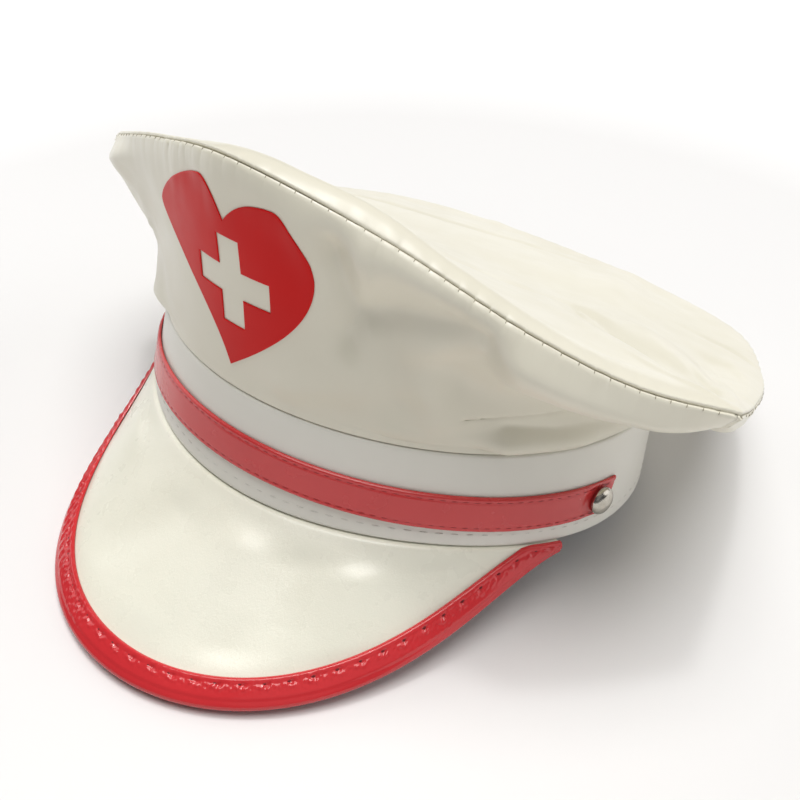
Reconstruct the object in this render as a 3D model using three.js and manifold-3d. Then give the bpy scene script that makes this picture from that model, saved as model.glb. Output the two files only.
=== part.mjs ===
// Peaked nurse cap in ivory vinyl: a flared crown with a saddle-shaped top, a plain band, a red
// strap held by two domed rivets, a sloping visor bound in red, and a heart with a cross.
//
// Millimetres, +Z up. The wearer looks along -Y and the wearer's left is +X. Every surface is
// worked out in the cap's own frame, where the band's lower edge lies in the plane z = 0. A turn
// is an angle in degrees round the band, 0 at the front centre and 90 at the wearer's left. The
// finished cap is tipped back until it stands on the visor's binding and the back of the band.

import * as THREE from 'three';
import { mergeVertices } from 'three/addons/utils/BufferGeometryUtils.js';
import Module from 'manifold-3d';

// Band
const BAND_HALF_WIDTH = 97;
const BAND_HALF_LENGTH = 91;
const BAND_BACK_WIDENING = 2.2;
const BAND_HEIGHT = 35;
const BAND_TAPER = 3;
const BAND_WALL = 2;
const BAND_EDGE_RISE = 2;

// Clearance between pieces that touch
const GAP = 0.3;

// Crown: the seam between its side wall and its top panel
const CROWN_WALL = 1.2;
const RIM_HALF_WIDTH = 133;
const RIM_TIP_FORWARD = 33;
const RIM_TIP_HEIGHT = 71;
const RIM_FRONT_REACH = 101;
const RIM_FRONT_HEIGHT = 113;
const RIM_BACK_REACH = 130;
const RIM_BACK_HEIGHT = 32;
const FULL_TURN = 360;
const SIDE_SEAM_TURN = 90;
const FOLD_DEPTH = 4;
const HEM_HEIGHT = 2;
const HEM_SHARE = 0.04;
const WALL_STAND = 4;
const WALL_STAND_SHARE = 0.4;

// Crown: the top panel
const TOP_CENTRE_BACK = 20;
const TOP_CENTRE_HEIGHT = 62;
const TOP_DISH = 2;
const ROLL_HEIGHT = 8;
const ROLL_WIDTH = 8.5;
const ROLL_LEAN = 0.35;

// Visor
const VISOR_DEPTH = 64.8;
const VISOR_END_DEPTH = 1;
const VISOR_TURN = 1.5;
const VISOR_HALF_TURN = 72;
const VISOR_END_CUT = 0.03;
const VISOR_SHARPNESS = 1.55;
const VISOR_RIGHT_SHARPNESS = 1.23;
const VISOR_SLOPE = 40;
const VISOR_END_SLOPE = 87;
const VISOR_BEND = 2;
const VISOR_RIGHT_BEND = 1.7;
const VISOR_WALL = 1.6;
const VISOR_FLANGE = 7;

// Visor binding
const BINDING_WIDTH = 7.8;
const BINDING_WALL = 0.8;
const BINDING_ROOT = 0.2;
const BINDING_UNDER_ROOT = 1.2;
const BINDING_END_CUT = 0.03;

// Strap
const STRAP_WIDTH = 12.2;
const STRAP_RISE = 6.5;
const STRAP_FRONT_LIFT = 3;
const STRAP_WALL = 1.2;
const STRAP_PAST_RIVET = 8.5;
const STRAP_END_SLANT = 4;

// Rivets
const RIVET_TURN = 80.5;
const RIVET_RADIUS = 4.9;
const RIVET_HEIGHT = 3.2;
const RIVET_EDGE = 0.7;

// Heart emblem, a little to the wearer's right of the front centre
const HEART_WIDTH = 69;
const HEART_HEIGHT = 60;
const HEART_TIP_RISE = 43;
const HEART_TIP_OFFSET = -5;
const HEART_FILM = 0.5;
const CROSS_SPAN = 29.6;
const CROSS_ARM = 9.2;
const CROSS_ABOVE_TIP = 30.7;
const CROSS_ASIDE = 2.6;

// Facets
const BAND_STEPS = 64;
const CROWN_FRONT_STEPS = 48;
const CROWN_BACK_STEPS = 32;
const VISOR_STEPS = 36;
const BINDING_STEPS = 40;
const STRAP_STEPS = 40;
const RIVET_SIDES = 20;

// Rim seam over the front, from the wearer's left tip to the right one, and half of it round the
// back, from a tip to the back centre. across is a share of RIM_HALF_WIDTH, along of the way from
// the tips to the centre, rise of the climb or drop there.
const FRONT_RIM = [
  { across: 1.00, along: 0.00, rise: 0.00 },
  { across: 0.84, along: 0.34, rise: 0.15 },
  { across: 0.66, along: 0.61, rise: 0.40 },
  { across: 0.34, along: 0.82, rise: 0.76 },
  { across: 0.00, along: 1.00, rise: 1.00 },
  { across: -0.34, along: 0.78, rise: 0.77 },
  { across: -0.66, along: 0.48, rise: 0.44 },
  { across: -1.00, along: 0.00, rise: 0.00 },
];
const BACK_RIM = [
  { across: 1.00, along: 0.00, rise: 0.00 },
  { across: 0.97, along: 0.17, rise: 0.27 },
  { across: 0.86, along: 0.57, rise: 0.76 },
  { across: 0.66, along: 0.87, rise: 0.95 },
  { across: 0.34, along: 0.98, rise: 1.00 },
  { across: 0.00, along: 1.00, rise: 1.00 },
];

// Folds and dents in the side wall, each along a line from one point of the wall to another.
// turn is in degrees, rise and spread are shares of the wall's height, depth of FOLD_DEPTH.
const WALL_FOLDS = [
  { turn: 30, rise: 0.78, endTurn: 33, endRise: 0.45, spread: 0.13, depth: -0.60 },
  { turn: 36, rise: 0.72, endTurn: 40, endRise: 0.30, spread: 0.12, depth: 0.45 },
  { turn: 44, rise: 0.62, endTurn: 70, endRise: 0.55, spread: 0.20, depth: -0.70 },
  { turn: 54, rise: 0.84, endTurn: 98, endRise: 0.82, spread: 0.15, depth: 1.90 },
  { turn: 55, rise: 0.14, endTurn: 88, endRise: 0.18, spread: 0.12, depth: 0.90 },
  { turn: -84, rise: 0.92, endTurn: -76, endRise: 0.40, spread: 0.08, depth: -0.50 },
  { turn: -80, rise: 0.92, endTurn: -66, endRise: 0.45, spread: 0.07, depth: 0.45 },
  { turn: -76, rise: 0.90, endTurn: -58, endRise: 0.45, spread: 0.09, depth: -0.55 },
  { turn: -88, rise: 0.07, endTurn: -46, endRise: 0.07, spread: 0.25, depth: 1.30 },
  { turn: -84, rise: 0.34, endTurn: -48, endRise: 0.34, spread: 0.14, depth: 0.38 },
  { turn: -84, rise: 0.71, endTurn: -48, endRise: 0.67, spread: 0.12, depth: 0.46 },
  { turn: -90, rise: 1.00, endTurn: -60, endRise: 0.91, spread: 0.30, depth: 1.65 },
  { turn: 90, rise: 0.92, endTurn: 80, endRise: 0.45, spread: 0.08, depth: -0.45 },
  { turn: 110, rise: 0.80, endTurn: 150, endRise: 0.70, spread: 0.22, depth: 0.50 },
  { turn: 180, rise: 0.70, endTurn: 182, endRise: 0.20, spread: 0.20, depth: -0.50 },
  { turn: 212, rise: 0.75, endTurn: 250, endRise: 0.80, spread: 0.22, depth: 0.50 },
];

// Folds in the top panel. across and endAcross are shares of RIM_HALF_WIDTH, back and endBack of
// RIM_BACK_REACH, spread of RIM_HALF_WIDTH, depth of FOLD_DEPTH.
const TOP_FOLDS = [
  { across: 0.90, back: -0.16, endAcross: 0.50, endBack: -0.02, spread: 0.06, depth: -0.60 },
  { across: 0.90, back: -0.12, endAcross: 0.62, endBack: 0.14, spread: 0.06, depth: 0.45 },
  { across: 0.90, back: -0.05, endAcross: 0.76, endBack: 0.28, spread: 0.06, depth: -0.50 },
  { across: -0.90, back: -0.16, endAcross: -0.48, endBack: 0.00, spread: 0.06, depth: -0.60 },
  { across: -0.90, back: -0.08, endAcross: -0.66, endBack: 0.20, spread: 0.06, depth: 0.45 },
  { across: -0.30, back: 0.10, endAcross: 0.30, endBack: 0.16, spread: 0.22, depth: -0.80 },
];

// Height of the padded roll along the top panel's seam, as a share of ROLL_HEIGHT.
const ROLL = [
  { turn: -90, height: 0.15 },
  { turn: -55, height: 0.10 },
  { turn: -20, height: 0.20 },
  { turn: 10, height: 0.62 },
  { turn: 35, height: 1.00 },
  { turn: 65, height: 0.75 },
  { turn: 90, height: 0.15 },
  { turn: 180, height: 0.12 },
  { turn: 270, height: 0.15 },
];

// Rows of facets: shares of the way up the wall, and from the rim in to the top's centre
const WALL_ROWS = [0, HEM_SHARE, 0.1, 0.18, 0.28, 0.4, 0.52, 0.64, 0.76, 0.88, 1];
const BACK_WALL_ROWS = [0, HEM_SHARE, 0.12, 0.25, 0.42, 0.6, 0.8, 1];
const TOP_ROWS = [0, 0.02, 0.045, 0.08, 0.13, 0.2, 0.3, 0.44, 0.62, 0.8, 1];
const VISOR_ROWS = [0, 0.1, 0.25, 0.45, 0.7, 1];

const X_AXIS = new THREE.Vector3(1, 0, 0);
const Y_AXIS = new THREE.Vector3(0, 1, 0);
const { degToRad, lerp, smoothstep } = THREE.MathUtils;

const wasm = await Module();
wasm.setup();

// Plain helpers

function evenly(from, to, steps) {
  return Array.from({ length: steps + 1 }, (_, i) => lerp(from, to, i / steps));
}

// A surface through equally long rows of points, as merged triangles that face the way from one
// row to the next crossed with the way along a row.
function rowSurface(rows) {
  const positions = rows.flatMap((row) => row.flatMap((point) => point.toArray()));
  const length = rows[0].length;
  const index = [];
  for (let i = 0; i + 1 < rows.length; i += 1) {
    for (let j = 0; j + 1 < length; j += 1) {
      const a = i * length + j;
      const b = a + length;
      index.push(a, b, b + 1, a, b + 1, a + 1);
    }
  }
  return mergedGeometry(positions, index);
}

// A surface given as point(u, v), on a grid of u and v.
function gridSurface(point, us, vs) {
  return rowSurface(us.map((u) => vs.map((v) => point(u, v))));
}

// Geometry with its equal points merged and its empty triangles dropped.
function mergedGeometry(positions, index) {
  const raw = new THREE.BufferGeometry();
  raw.setAttribute('position', new THREE.Float32BufferAttribute(positions, 3));
  raw.setIndex(index);
  const merged = mergeVertices(raw, 1e-3);
  const corners = merged.index.array;
  const kept = [];
  for (let i = 0; i < corners.length; i += 3) {
    const [a, b, c] = corners.slice(i, i + 3);
    if (a !== b && b !== c && c !== a) kept.push(a, b, c);
  }
  merged.setIndex(kept);
  return merged;
}

// A closed sheet between two offsets of an open surface, along the surface's own normals.
function thicken(surface, below, above) {
  surface.computeVertexNormals();
  const { position, normal } = surface.attributes;
  const corners = [...surface.index.array];
  const count = position.count;
  const point = new THREE.Vector3();
  const direction = new THREE.Vector3();
  const offset = (distance) => Array.from({ length: count }, (_, i) => {
    point.fromBufferAttribute(position, i);
    direction.fromBufferAttribute(normal, i);
    return point.addScaledVector(direction, distance).toArray();
  }).flat();
  const index = [];
  for (let i = 0; i < corners.length; i += 3) {
    const [a, b, c] = corners.slice(i, i + 3);
    index.push(a + count, b + count, c + count, a, c, b);
  }
  for (const [a, b] of openEdges(corners)) {
    index.push(a, b, b + count, a, b + count, a + count);
  }
  return mergedGeometry([...offset(-below), ...offset(above)], index);
}

// Directed edges that only one triangle has.
function openEdges(corners) {
  const edges = new Map();
  for (let i = 0; i < corners.length; i += 3) {
    for (let side = 0; side < 3; side += 1) {
      const a = corners[i + side];
      const b = corners[i + (side + 1) % 3];
      edges.set(`${a} ${b}`, [a, b]);
    }
  }
  return [...edges.values()].filter(([a, b]) => !edges.has(`${b} ${a}`));
}

// Height of a row of folds at a point: each fold fades with its distance from its line.
function foldHeight(folds, x, y, toFoldLine) {
  return folds.reduce((sum, fold) => {
    const { start, end, spread } = toFoldLine(fold);
    const dx = end.x - start.x;
    const dy = end.y - start.y;
    const share = ((x - start.x) * dx + (y - start.y) * dy) / (dx * dx + dy * dy);
    const held = THREE.MathUtils.clamp(share, 0, 1);
    const distance = Math.hypot(x - start.x - held * dx, y - start.y - held * dy);
    return sum + FOLD_DEPTH * fold.depth * Math.exp(-((distance / spread) ** 2));
  }, 0);
}

// Band

// Outward direction of the band's plan, square to it.
function bandNormal(turn) {
  const angle = degToRad(turn);
  const halfWidth = BAND_HALF_WIDTH - BAND_BACK_WIDENING * Math.cos(angle);
  const dx = halfWidth * Math.cos(angle) + BAND_BACK_WIDENING * Math.sin(angle) ** 2;
  const dy = BAND_HALF_LENGTH * Math.sin(angle);
  return new THREE.Vector3(dy, -dx, 0).normalize();
}

// Point at a height on the band's outside, moved outwards by a distance.
function bandPoint(turn, height, out) {
  const angle = degToRad(turn);
  const halfWidth = BAND_HALF_WIDTH - BAND_BACK_WIDENING * Math.cos(angle);
  const point = new THREE.Vector3(
    halfWidth * Math.sin(angle),
    -BAND_HALF_LENGTH * Math.cos(angle),
    height,
  );
  return point.addScaledVector(bandNormal(turn), out - BAND_TAPER * (height / BAND_HEIGHT));
}

// The band's lower edge rises a little on both sides of the visor's middle.
function edgeRise(turn) {
  if (Math.abs(turn) > 90) return 0;
  return BAND_EDGE_RISE * Math.sin(degToRad(2 * turn)) ** 2;
}

function bandGeometry() {
  const section = [
    { share: 0, out: 0 },
    { share: 0.5, out: 0 },
    { share: 1, out: 0 },
    { share: 1, out: -BAND_WALL },
    { share: 0, out: -BAND_WALL },
    { share: 0, out: 0 },
  ];
  const corner = (turn, i) => {
    const height = lerp(edgeRise(turn), BAND_HEIGHT, section[i].share);
    return bandPoint(turn, height, section[i].out);
  };
  return gridSurface(corner, evenly(-180, 180, BAND_STEPS), [...section.keys()]);
}

// Crown

function rimCurve(rows, reach, height) {
  const points = rows.map((row) => new THREE.Vector3(
    row.across * RIM_HALF_WIDTH,
    lerp(-RIM_TIP_FORWARD, reach, row.along),
    lerp(RIM_TIP_HEIGHT, height, row.rise),
  ));
  return new THREE.CatmullRomCurve3(points, false, 'centripetal');
}

function mirrored(rows) {
  const otherSide = rows.slice(0, -1).map((row) => ({ ...row, across: -row.across }));
  return [...rows, ...otherSide.reverse()];
}

const frontRim = rimCurve(FRONT_RIM, -RIM_FRONT_REACH, RIM_FRONT_HEIGHT);
const backRim = rimCurve(mirrored(BACK_RIM), RIM_BACK_REACH, RIM_BACK_HEIGHT);

// Point of the rim seam above a turn from -90 to 270: the front from tip to tip, then the back.
function rimPoint(turn) {
  if (turn <= SIDE_SEAM_TURN) return frontRim.getPointAt((SIDE_SEAM_TURN - turn) / 180);
  return backRim.getPointAt((turn - SIDE_SEAM_TURN) / 180);
}

// Inside of the side wall before it is folded, share 0 on the band and 1 at the rim: an upright
// hem on the band, then a curve that leaves it upwards and flares out to the rim.
function plainWall(turn, share) {
  const foot = bandPoint(turn, BAND_HEIGHT + GAP, -CROWN_WALL);
  const hem = foot.clone().setZ(foot.z + HEM_HEIGHT);
  if (share <= HEM_SHARE) return foot.lerp(hem, share / HEM_SHARE);
  const rim = rimPoint(turn);
  const overhang = Math.hypot(rim.x - hem.x, rim.y - hem.y);
  const climb = WALL_STAND + WALL_STAND_SHARE * Math.min(overhang, Math.max(rim.z - hem.z, 0));
  const stand = hem.clone().setZ(hem.z + climb);
  const flare = new THREE.QuadraticBezierCurve3(hem, stand, rim);
  return flare.getPoint((share - HEM_SHARE) / (1 - HEM_SHARE));
}

function wallNormal(turn, share) {
  const step = 0.01;
  const last = turn > SIDE_SEAM_TURN ? 270 : SIDE_SEAM_TURN;
  const from = Math.min(turn, last - step);
  const along = plainWall(from + step, share).sub(plainWall(from, share));
  const up = plainWall(turn, 1).sub(plainWall(turn, 0));
  return along.cross(up).normalize();
}

const wallHeight = RIM_FRONT_HEIGHT - BAND_HEIGHT;
const wallRadius = (BAND_HALF_WIDTH + RIM_HALF_WIDTH) / 2;

function wallFoldLine(fold) {
  return {
    start: { x: degToRad(fold.turn) * wallRadius, y: fold.rise * wallHeight },
    end: { x: degToRad(fold.endTurn) * wallRadius, y: fold.endRise * wallHeight },
    spread: fold.spread * wallHeight,
  };
}

function wallFolds(turn, share) {
  return foldHeight(WALL_FOLDS, degToRad(turn) * wallRadius, share * wallHeight, wallFoldLine);
}

// Inside of the side wall with its folds, which die out at the band and at the rim. A fold that
// ends at the right side seam goes on past it, a full turn on.
function wallPoint(turn, share) {
  const height = wallFolds(turn, share) + wallFolds(turn - FULL_TURN, share);
  const fade = smoothstep(share, HEM_SHARE, 0.1) * smoothstep(1 - share, 0, 0.08);
  return plainWall(turn, share).addScaledVector(wallNormal(turn, share), height * fade);
}

// The wall stops short of the rim, and of the side seam, by half a gap on each panel.
function wallPanel(fromTurn, toTurn, steps, rows) {
  const seamTurn = THREE.MathUtils.radToDeg(GAP / 2 / BAND_HALF_LENGTH);
  const turns = evenly(fromTurn + seamTurn, toTurn - seamTurn, steps);
  const shares = rows.map((share) => share * (1 - GAP / wallHeight));
  return gridSurface(wallPoint, turns, shares);
}

function crownFrontSurface() {
  return wallPanel(-SIDE_SEAM_TURN, SIDE_SEAM_TURN, CROWN_FRONT_STEPS, WALL_ROWS);
}

function crownBackSurface() {
  return wallPanel(SIDE_SEAM_TURN, FULL_TURN - SIDE_SEAM_TURN, CROWN_BACK_STEPS, BACK_WALL_ROWS);
}

function rollHeight(turn) {
  const next = ROLL.findIndex((row, i) => i > 0 && turn <= row.turn);
  const [from, to] = ROLL.slice(next - 1, next + 1);
  return ROLL_HEIGHT * lerp(from.height, to.height, smoothstep(turn, from.turn, to.turn));
}

function topFoldLine(fold) {
  return {
    start: { x: fold.across * RIM_HALF_WIDTH, y: fold.back * RIM_BACK_REACH },
    end: { x: fold.endAcross * RIM_HALF_WIDTH, y: fold.endBack * RIM_BACK_REACH },
    spread: fold.spread * RIM_HALF_WIDTH,
  };
}

// Height at the top panel's middle plane, which falls from the centre to the back of the rim.
function topPlane(y) {
  const fall = (TOP_CENTRE_HEIGHT - RIM_BACK_HEIGHT) / (RIM_BACK_REACH - TOP_CENTRE_BACK);
  return TOP_CENTRE_HEIGHT - fall * (y - TOP_CENTRE_BACK);
}

// Underside of the top panel, share 0 at the rim and 1 at the centre: its height over the middle
// plane grows from the centre to the rim. A padded roll along the seam leans out over it.
function topPoint(turn, share) {
  const rim = rimPoint(turn);
  const centre = new THREE.Vector3(0, TOP_CENTRE_BACK, TOP_CENTRE_HEIGHT);
  const point = rim.clone().lerp(centre, share);
  point.z = topPlane(point.y) + (rim.z - topPlane(rim.y)) * (1 - share) ** TOP_DISH;
  const outwards = rim.clone().sub(centre).setZ(0).normalize();
  const inset = (share * rim.distanceTo(centre)) / ROLL_WIDTH;
  const roll = rollHeight(turn) * inset * Math.exp(1 - inset);
  const fold = foldHeight(TOP_FOLDS, point.x, point.y, topFoldLine);
  point.z += roll + fold * smoothstep(share, 0, 0.08);
  return point.addScaledVector(outwards, roll * ROLL_LEAN);
}

function crownTopSurface() {
  const front = evenly(-SIDE_SEAM_TURN, SIDE_SEAM_TURN, CROWN_FRONT_STEPS);
  const back = evenly(SIDE_SEAM_TURN, FULL_TURN - SIDE_SEAM_TURN, CROWN_BACK_STEPS).slice(1);
  return gridSurface(topPoint, [...front, ...back], TOP_ROWS);
}

// Visor

function visorTurn(span) {
  return VISOR_TURN + span * VISOR_HALF_TURN;
}

// The visor's middle surface at a share of its half turn, a distance out from the band. It
// steepens towards its ends, sooner on the wearer's right.
function visorPoint(span, out) {
  const turn = visorTurn(span);
  const bend = Math.abs(span) ** (span < 0 ? VISOR_RIGHT_BEND : VISOR_BEND);
  const slope = degToRad(lerp(VISOR_SLOPE, VISOR_END_SLOPE, bend));
  const point = bandPoint(turn, 0, out * Math.cos(slope));
  point.z = edgeRise(turn) - GAP - VISOR_WALL / 2 - out * Math.sin(slope);
  return point;
}

function visorDepth(span) {
  const sharpness = span < 0 ? VISOR_RIGHT_SHARPNESS : VISOR_SHARPNESS;
  const round = Math.cos((span * Math.PI) / 2) ** sharpness;
  return lerp(VISOR_END_DEPTH, VISOR_DEPTH, round);
}

// Flange inside the band, as steps out from the band's outside and heights, from below upwards.
function visorFlange(turn) {
  const half = VISOR_WALL / 2;
  const inside = -BAND_WALL - GAP - half;
  const point = (out, height) => {
    const taper = (BAND_TAPER * Math.max(height + edgeRise(turn), 0)) / BAND_HEIGHT;
    return bandPoint(turn, 0, out - taper).setZ(height + edgeRise(turn));
  };
  return [
    point(inside + half, -GAP - half),
    point(inside, -GAP),
    point(inside, VISOR_FLANGE / 2),
    point(inside, VISOR_FLANGE),
  ];
}

// The sheet runs in from its outer edge to the band, turns up behind it and ends as the flange.
function visorGeometry() {
  const outwardShares = [...VISOR_ROWS].reverse();
  const row = (span) => [
    ...outwardShares.map((share) => visorPoint(span, share * visorDepth(span))),
    ...visorFlange(visorTurn(span)),
  ];
  const halfSpan = 1 - VISOR_END_CUT;
  const surface = rowSurface(evenly(-halfSpan, halfSpan, VISOR_STEPS).map(row));
  return thicken(surface, VISOR_WALL / 2, VISOR_WALL / 2);
}

// The tape is folded round the visor's edge: a path from under the sheet, round its edge and back
// over it. inset is a share of the tape's width, out and side are shares of its half opening.
const BINDING_PATH = [
  { inset: 1, out: 0, side: -1 },
  { inset: 0.5, out: 0, side: -1 },
  { inset: 0, out: 0, side: -1 },
  { inset: 0, out: 0.7, side: -0.7 },
  { inset: 0, out: 1, side: 0 },
  { inset: 0, out: 0.7, side: 0.7 },
  { inset: 0, out: 0, side: 1 },
  { inset: 0.5, out: 0, side: 1 },
  { inset: 1, out: 0, side: 1 },
];

function bindingGeometry() {
  const opening = VISOR_WALL / 2 + GAP;
  const row = (span) => {
    const { inwards, normal, oblique } = visorEdgeFrame(span);
    return BINDING_PATH.map(({ inset, out, side }) => {
      const root = side > 0 ? BINDING_ROOT : BINDING_UNDER_ROOT;
      const width = Math.min(BINDING_WIDTH / oblique, visorDepth(span) - root);
      return visorPoint(span, visorDepth(span) - inset * width)
        .addScaledVector(inwards, -opening * out)
        .addScaledVector(normal, opening * side);
    });
  };
  const halfSpan = 1 - BINDING_END_CUT;
  const rows = evenly(-halfSpan, halfSpan, BINDING_STEPS).map(row);
  return thicken(rowSurface(rows), 0, BINDING_WALL);
}

// At the visor's outer edge: the way in along the sheet square to the edge, the sheet's upward
// normal, and how squarely the sheet's rulings meet the edge.
function visorEdgeFrame(span) {
  const step = 0.001;
  const edge = visorPoint(span, visorDepth(span));
  const ahead = visorPoint(span + step, visorDepth(span + step));
  const along = ahead.sub(edge).normalize();
  const ruling = visorPoint(span, 0).sub(visorPoint(span, 1)).normalize();
  const normal = ruling.clone().cross(along).negate().normalize();
  const inwards = along.clone().cross(normal).negate().normalize();
  return { inwards, normal, oblique: Math.max(ruling.dot(inwards), 0.3) };
}

// Strap and rivets

const rivetHeight = STRAP_RISE + STRAP_WIDTH / 2 + STRAP_FRONT_LIFT * Math.cos(degToRad(RIVET_TURN));

function arcTurn(distance) {
  return THREE.MathUtils.radToDeg(distance / BAND_HALF_LENGTH);
}

function strapGeometry() {
  const place = (span, share) => {
    const slant = STRAP_END_SLANT * (1 - share);
    const turn = span * (RIVET_TURN + arcTurn(STRAP_PAST_RIVET - slant));
    const rise = STRAP_RISE + STRAP_FRONT_LIFT * Math.cos(degToRad(turn)) + share * STRAP_WIDTH;
    return bandPoint(turn, rise, GAP);
  };
  const surface = gridSurface(place, evenly(-1, 1, STRAP_STEPS), [0, 0.5, 1]);
  return thicken(surface, 0, STRAP_WALL);
}

function rivetGeometry() {
  const dome = evenly(0, 90, 6).map((angle) => new THREE.Vector2(
    RIVET_RADIUS * Math.cos(degToRad(angle)),
    RIVET_EDGE + (RIVET_HEIGHT - RIVET_EDGE) * Math.sin(degToRad(angle)),
  ));
  dome[dome.length - 1].x = 0;
  const profile = [new THREE.Vector2(0, 0), new THREE.Vector2(RIVET_RADIUS, 0), ...dome];
  const lathe = new THREE.LatheGeometry(profile, RIVET_SIDES);
  return mergedGeometry([...lathe.attributes.position.array], [...lathe.index.array]);
}

// The dome's axis is square to the band's tapered wall.
function rivetMesh(name, side) {
  const mesh = new THREE.Mesh(rivetGeometry(), nickel);
  const seat = GAP + STRAP_WALL + GAP;
  const axis = bandNormal(side * RIVET_TURN).setZ(BAND_TAPER / BAND_HEIGHT).normalize();
  mesh.name = name;
  mesh.position.copy(bandPoint(side * RIVET_TURN, rivetHeight, seat));
  mesh.quaternion.setFromUnitVectors(Y_AXIS, axis);
  return mesh;
}

// Heart emblem

// The heart's outline from its tip up the wearer's left side to the notch and down the other
// side. x is a share of the width from the tip, y of the height, and each row ends a curve with
// its two control points before it.
const HEART_OUTLINE = [
  { x1: 0.165, y1: 0.15, x2: 0.460, y2: 0.40, x: 0.460, y: 0.68 },
  { x1: 0.460, y1: 0.80, x2: 0.335, y2: 1.00, x: 0.300, y: 1.00 },
  { x1: 0.160, y1: 1.00, x2: 0.075, y2: 0.92, x: 0.025, y: 0.845 },
  { x1: -0.010, y1: 0.91, x2: -0.070, y2: 1.01, x: -0.095, y: 1.035 },
  { x1: -0.230, y1: 1.01, x2: -0.520, y2: 0.83, x: -0.560, y: 0.70 },
  { x1: -0.575, y1: 0.60, x2: -0.150, y2: 0.42, x: 0.000, y: 0.00 },
];

function heartShape() {
  const shape = new THREE.Shape();
  shape.moveTo(0, 0);
  for (const c of HEART_OUTLINE) {
    shape.bezierCurveTo(
      c.x1 * HEART_WIDTH, c.y1 * HEART_HEIGHT,
      c.x2 * HEART_WIDTH, c.y2 * HEART_HEIGHT,
      c.x * HEART_WIDTH, c.y * HEART_HEIGHT,
    );
  }
  return shape;
}

// The cross is placed from the heart's tip.
function crossShape() {
  const reach = CROSS_SPAN / 2;
  const arm = CROSS_ARM / 2;
  const quarter = [[arm, reach], [arm, arm], [reach, arm]];
  const corners = [
    ...quarter,
    ...quarter.map(([x, y]) => [x, -y]).reverse(),
    ...quarter.map(([x, y]) => [-x, -y]),
    ...quarter.map(([x, y]) => [-x, y]).reverse(),
  ];
  return new THREE.Shape(corners.map(([x, y]) => (
    new THREE.Vector2(x + CROSS_ASIDE, y + CROSS_ABOVE_TIP)
  )));
}

function toManifold(geometry) {
  const mesh = new wasm.Mesh({
    numProp: 3,
    vertProperties: new Float32Array(geometry.attributes.position.array),
    triVerts: new Uint32Array(geometry.index.array),
  });
  return new wasm.Manifold(mesh);
}

function fromManifold(solid) {
  const { vertProperties, triVerts } = solid.getMesh();
  return mergedGeometry([...vertProperties], [...triVerts]);
}

// A prism through the crown's front, of a shape drawn from the heart's tip.
function emblemPrism(shape) {
  const options = { depth: RIM_FRONT_REACH, bevelEnabled: false, curveSegments: 10 };
  const extruded = new THREE.ExtrudeGeometry(shape, options);
  const flat = [...extruded.attributes.position.array];
  const prism = mergedGeometry(flat, [...Array(flat.length / 3).keys()]);
  prism.rotateX(Math.PI / 2);
  prism.translate(HEART_TIP_OFFSET, -BAND_HALF_LENGTH / 2, HEART_TIP_RISE);
  return toManifold(prism);
}

// The film lies on the crown's front: a thin layer over the wall, cut out by the heart's prism,
// with the cross cut away.
function heartGeometry() {
  const lift = CROWN_WALL + GAP;
  const layer = thicken(crownFrontSurface(), -lift, lift + HEART_FILM);
  const cutter = emblemPrism(heartShape()).subtract(emblemPrism(crossShape()));
  return fromManifold(toManifold(layer).intersect(cutter));
}

// Materials

function finish(color, roughness, metalness) {
  return new THREE.MeshStandardMaterial({ color, roughness, metalness });
}

const ivory = finish(0xf4f1e2, 0.35, 0);
const bandWhite = finish(0xe6e4de, 0.35, 0);
const pearl = finish(0xf0efe0, 0.3, 0);
const bindingRed = finish(0xd62a30, 0.2, 0);
const strapRed = finish(0xb8343a, 0.25, 0);
const heartRed = finish(0xb02226, 0.3, 0);
const nickel = finish(0xb9b4a8, 0.25, 1);

function namedMesh(name, geometry, material) {
  const mesh = new THREE.Mesh(geometry, material);
  mesh.name = name;
  return mesh;
}

// Assembly

const band = namedMesh('band', bandGeometry(), bandWhite);
const binding = namedMesh('visor_binding', bindingGeometry(), bindingRed);

const cap = new THREE.Group();
cap.add(
  band,
  binding,
  namedMesh('crown_front', thicken(crownFrontSurface(), 0, CROWN_WALL), ivory),
  namedMesh('crown_back', thicken(crownBackSurface(), 0, CROWN_WALL), ivory),
  namedMesh('crown_top', thicken(crownTopSurface(), 0, CROWN_WALL), ivory),
  namedMesh('visor', visorGeometry(), pearl),
  namedMesh('strap', strapGeometry(), strapRed),
  rivetMesh('rivet_left', 1),
  rivetMesh('rivet_right', -1),
  namedMesh('heart_emblem', heartGeometry(), heartRed),
);

// The tip back that brings the binding's lowest point level with the band's back edge.
function restTilt() {
  const foot = bandPoint(180, 0, 0);
  const position = binding.geometry.attributes.position;
  let tilt = 0;
  for (let i = 0; i < position.count; i += 1) {
    tilt = Math.max(tilt, Math.atan2(-position.getZ(i), foot.y - position.getY(i)));
  }
  return tilt;
}

cap.quaternion.setFromAxisAngle(X_AXIS, -restTilt());
cap.updateMatrixWorld(true);

// The origin is under the middle of the whole cap, on the surface it stands on.
const bounds = new THREE.Box3().setFromObject(cap, true);
const middle = bounds.getCenter(new THREE.Vector3());
cap.position.set(-middle.x, -middle.y, -bounds.min.z);

const group = new THREE.Group();
group.add(cap);

export default group;
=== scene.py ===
"""The nurse cap dressed for its photograph: sewn vinyl crown, band, strap, bound visor and emblem.

Surfaces are worked out in millimetres in the cap's own frame: the wearer looks along -Y, the
wearer's left is +X, and the band's lower edge lies in z = 0. A turn is an angle in degrees round
the band, 0 at the front centre and 90 at the wearer's left. Each finished piece is then tipped
back and lowered to the place where the cap rests, in metres.
"""

import math

import bpy
import numpy as np
from mathutils import Matrix


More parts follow.
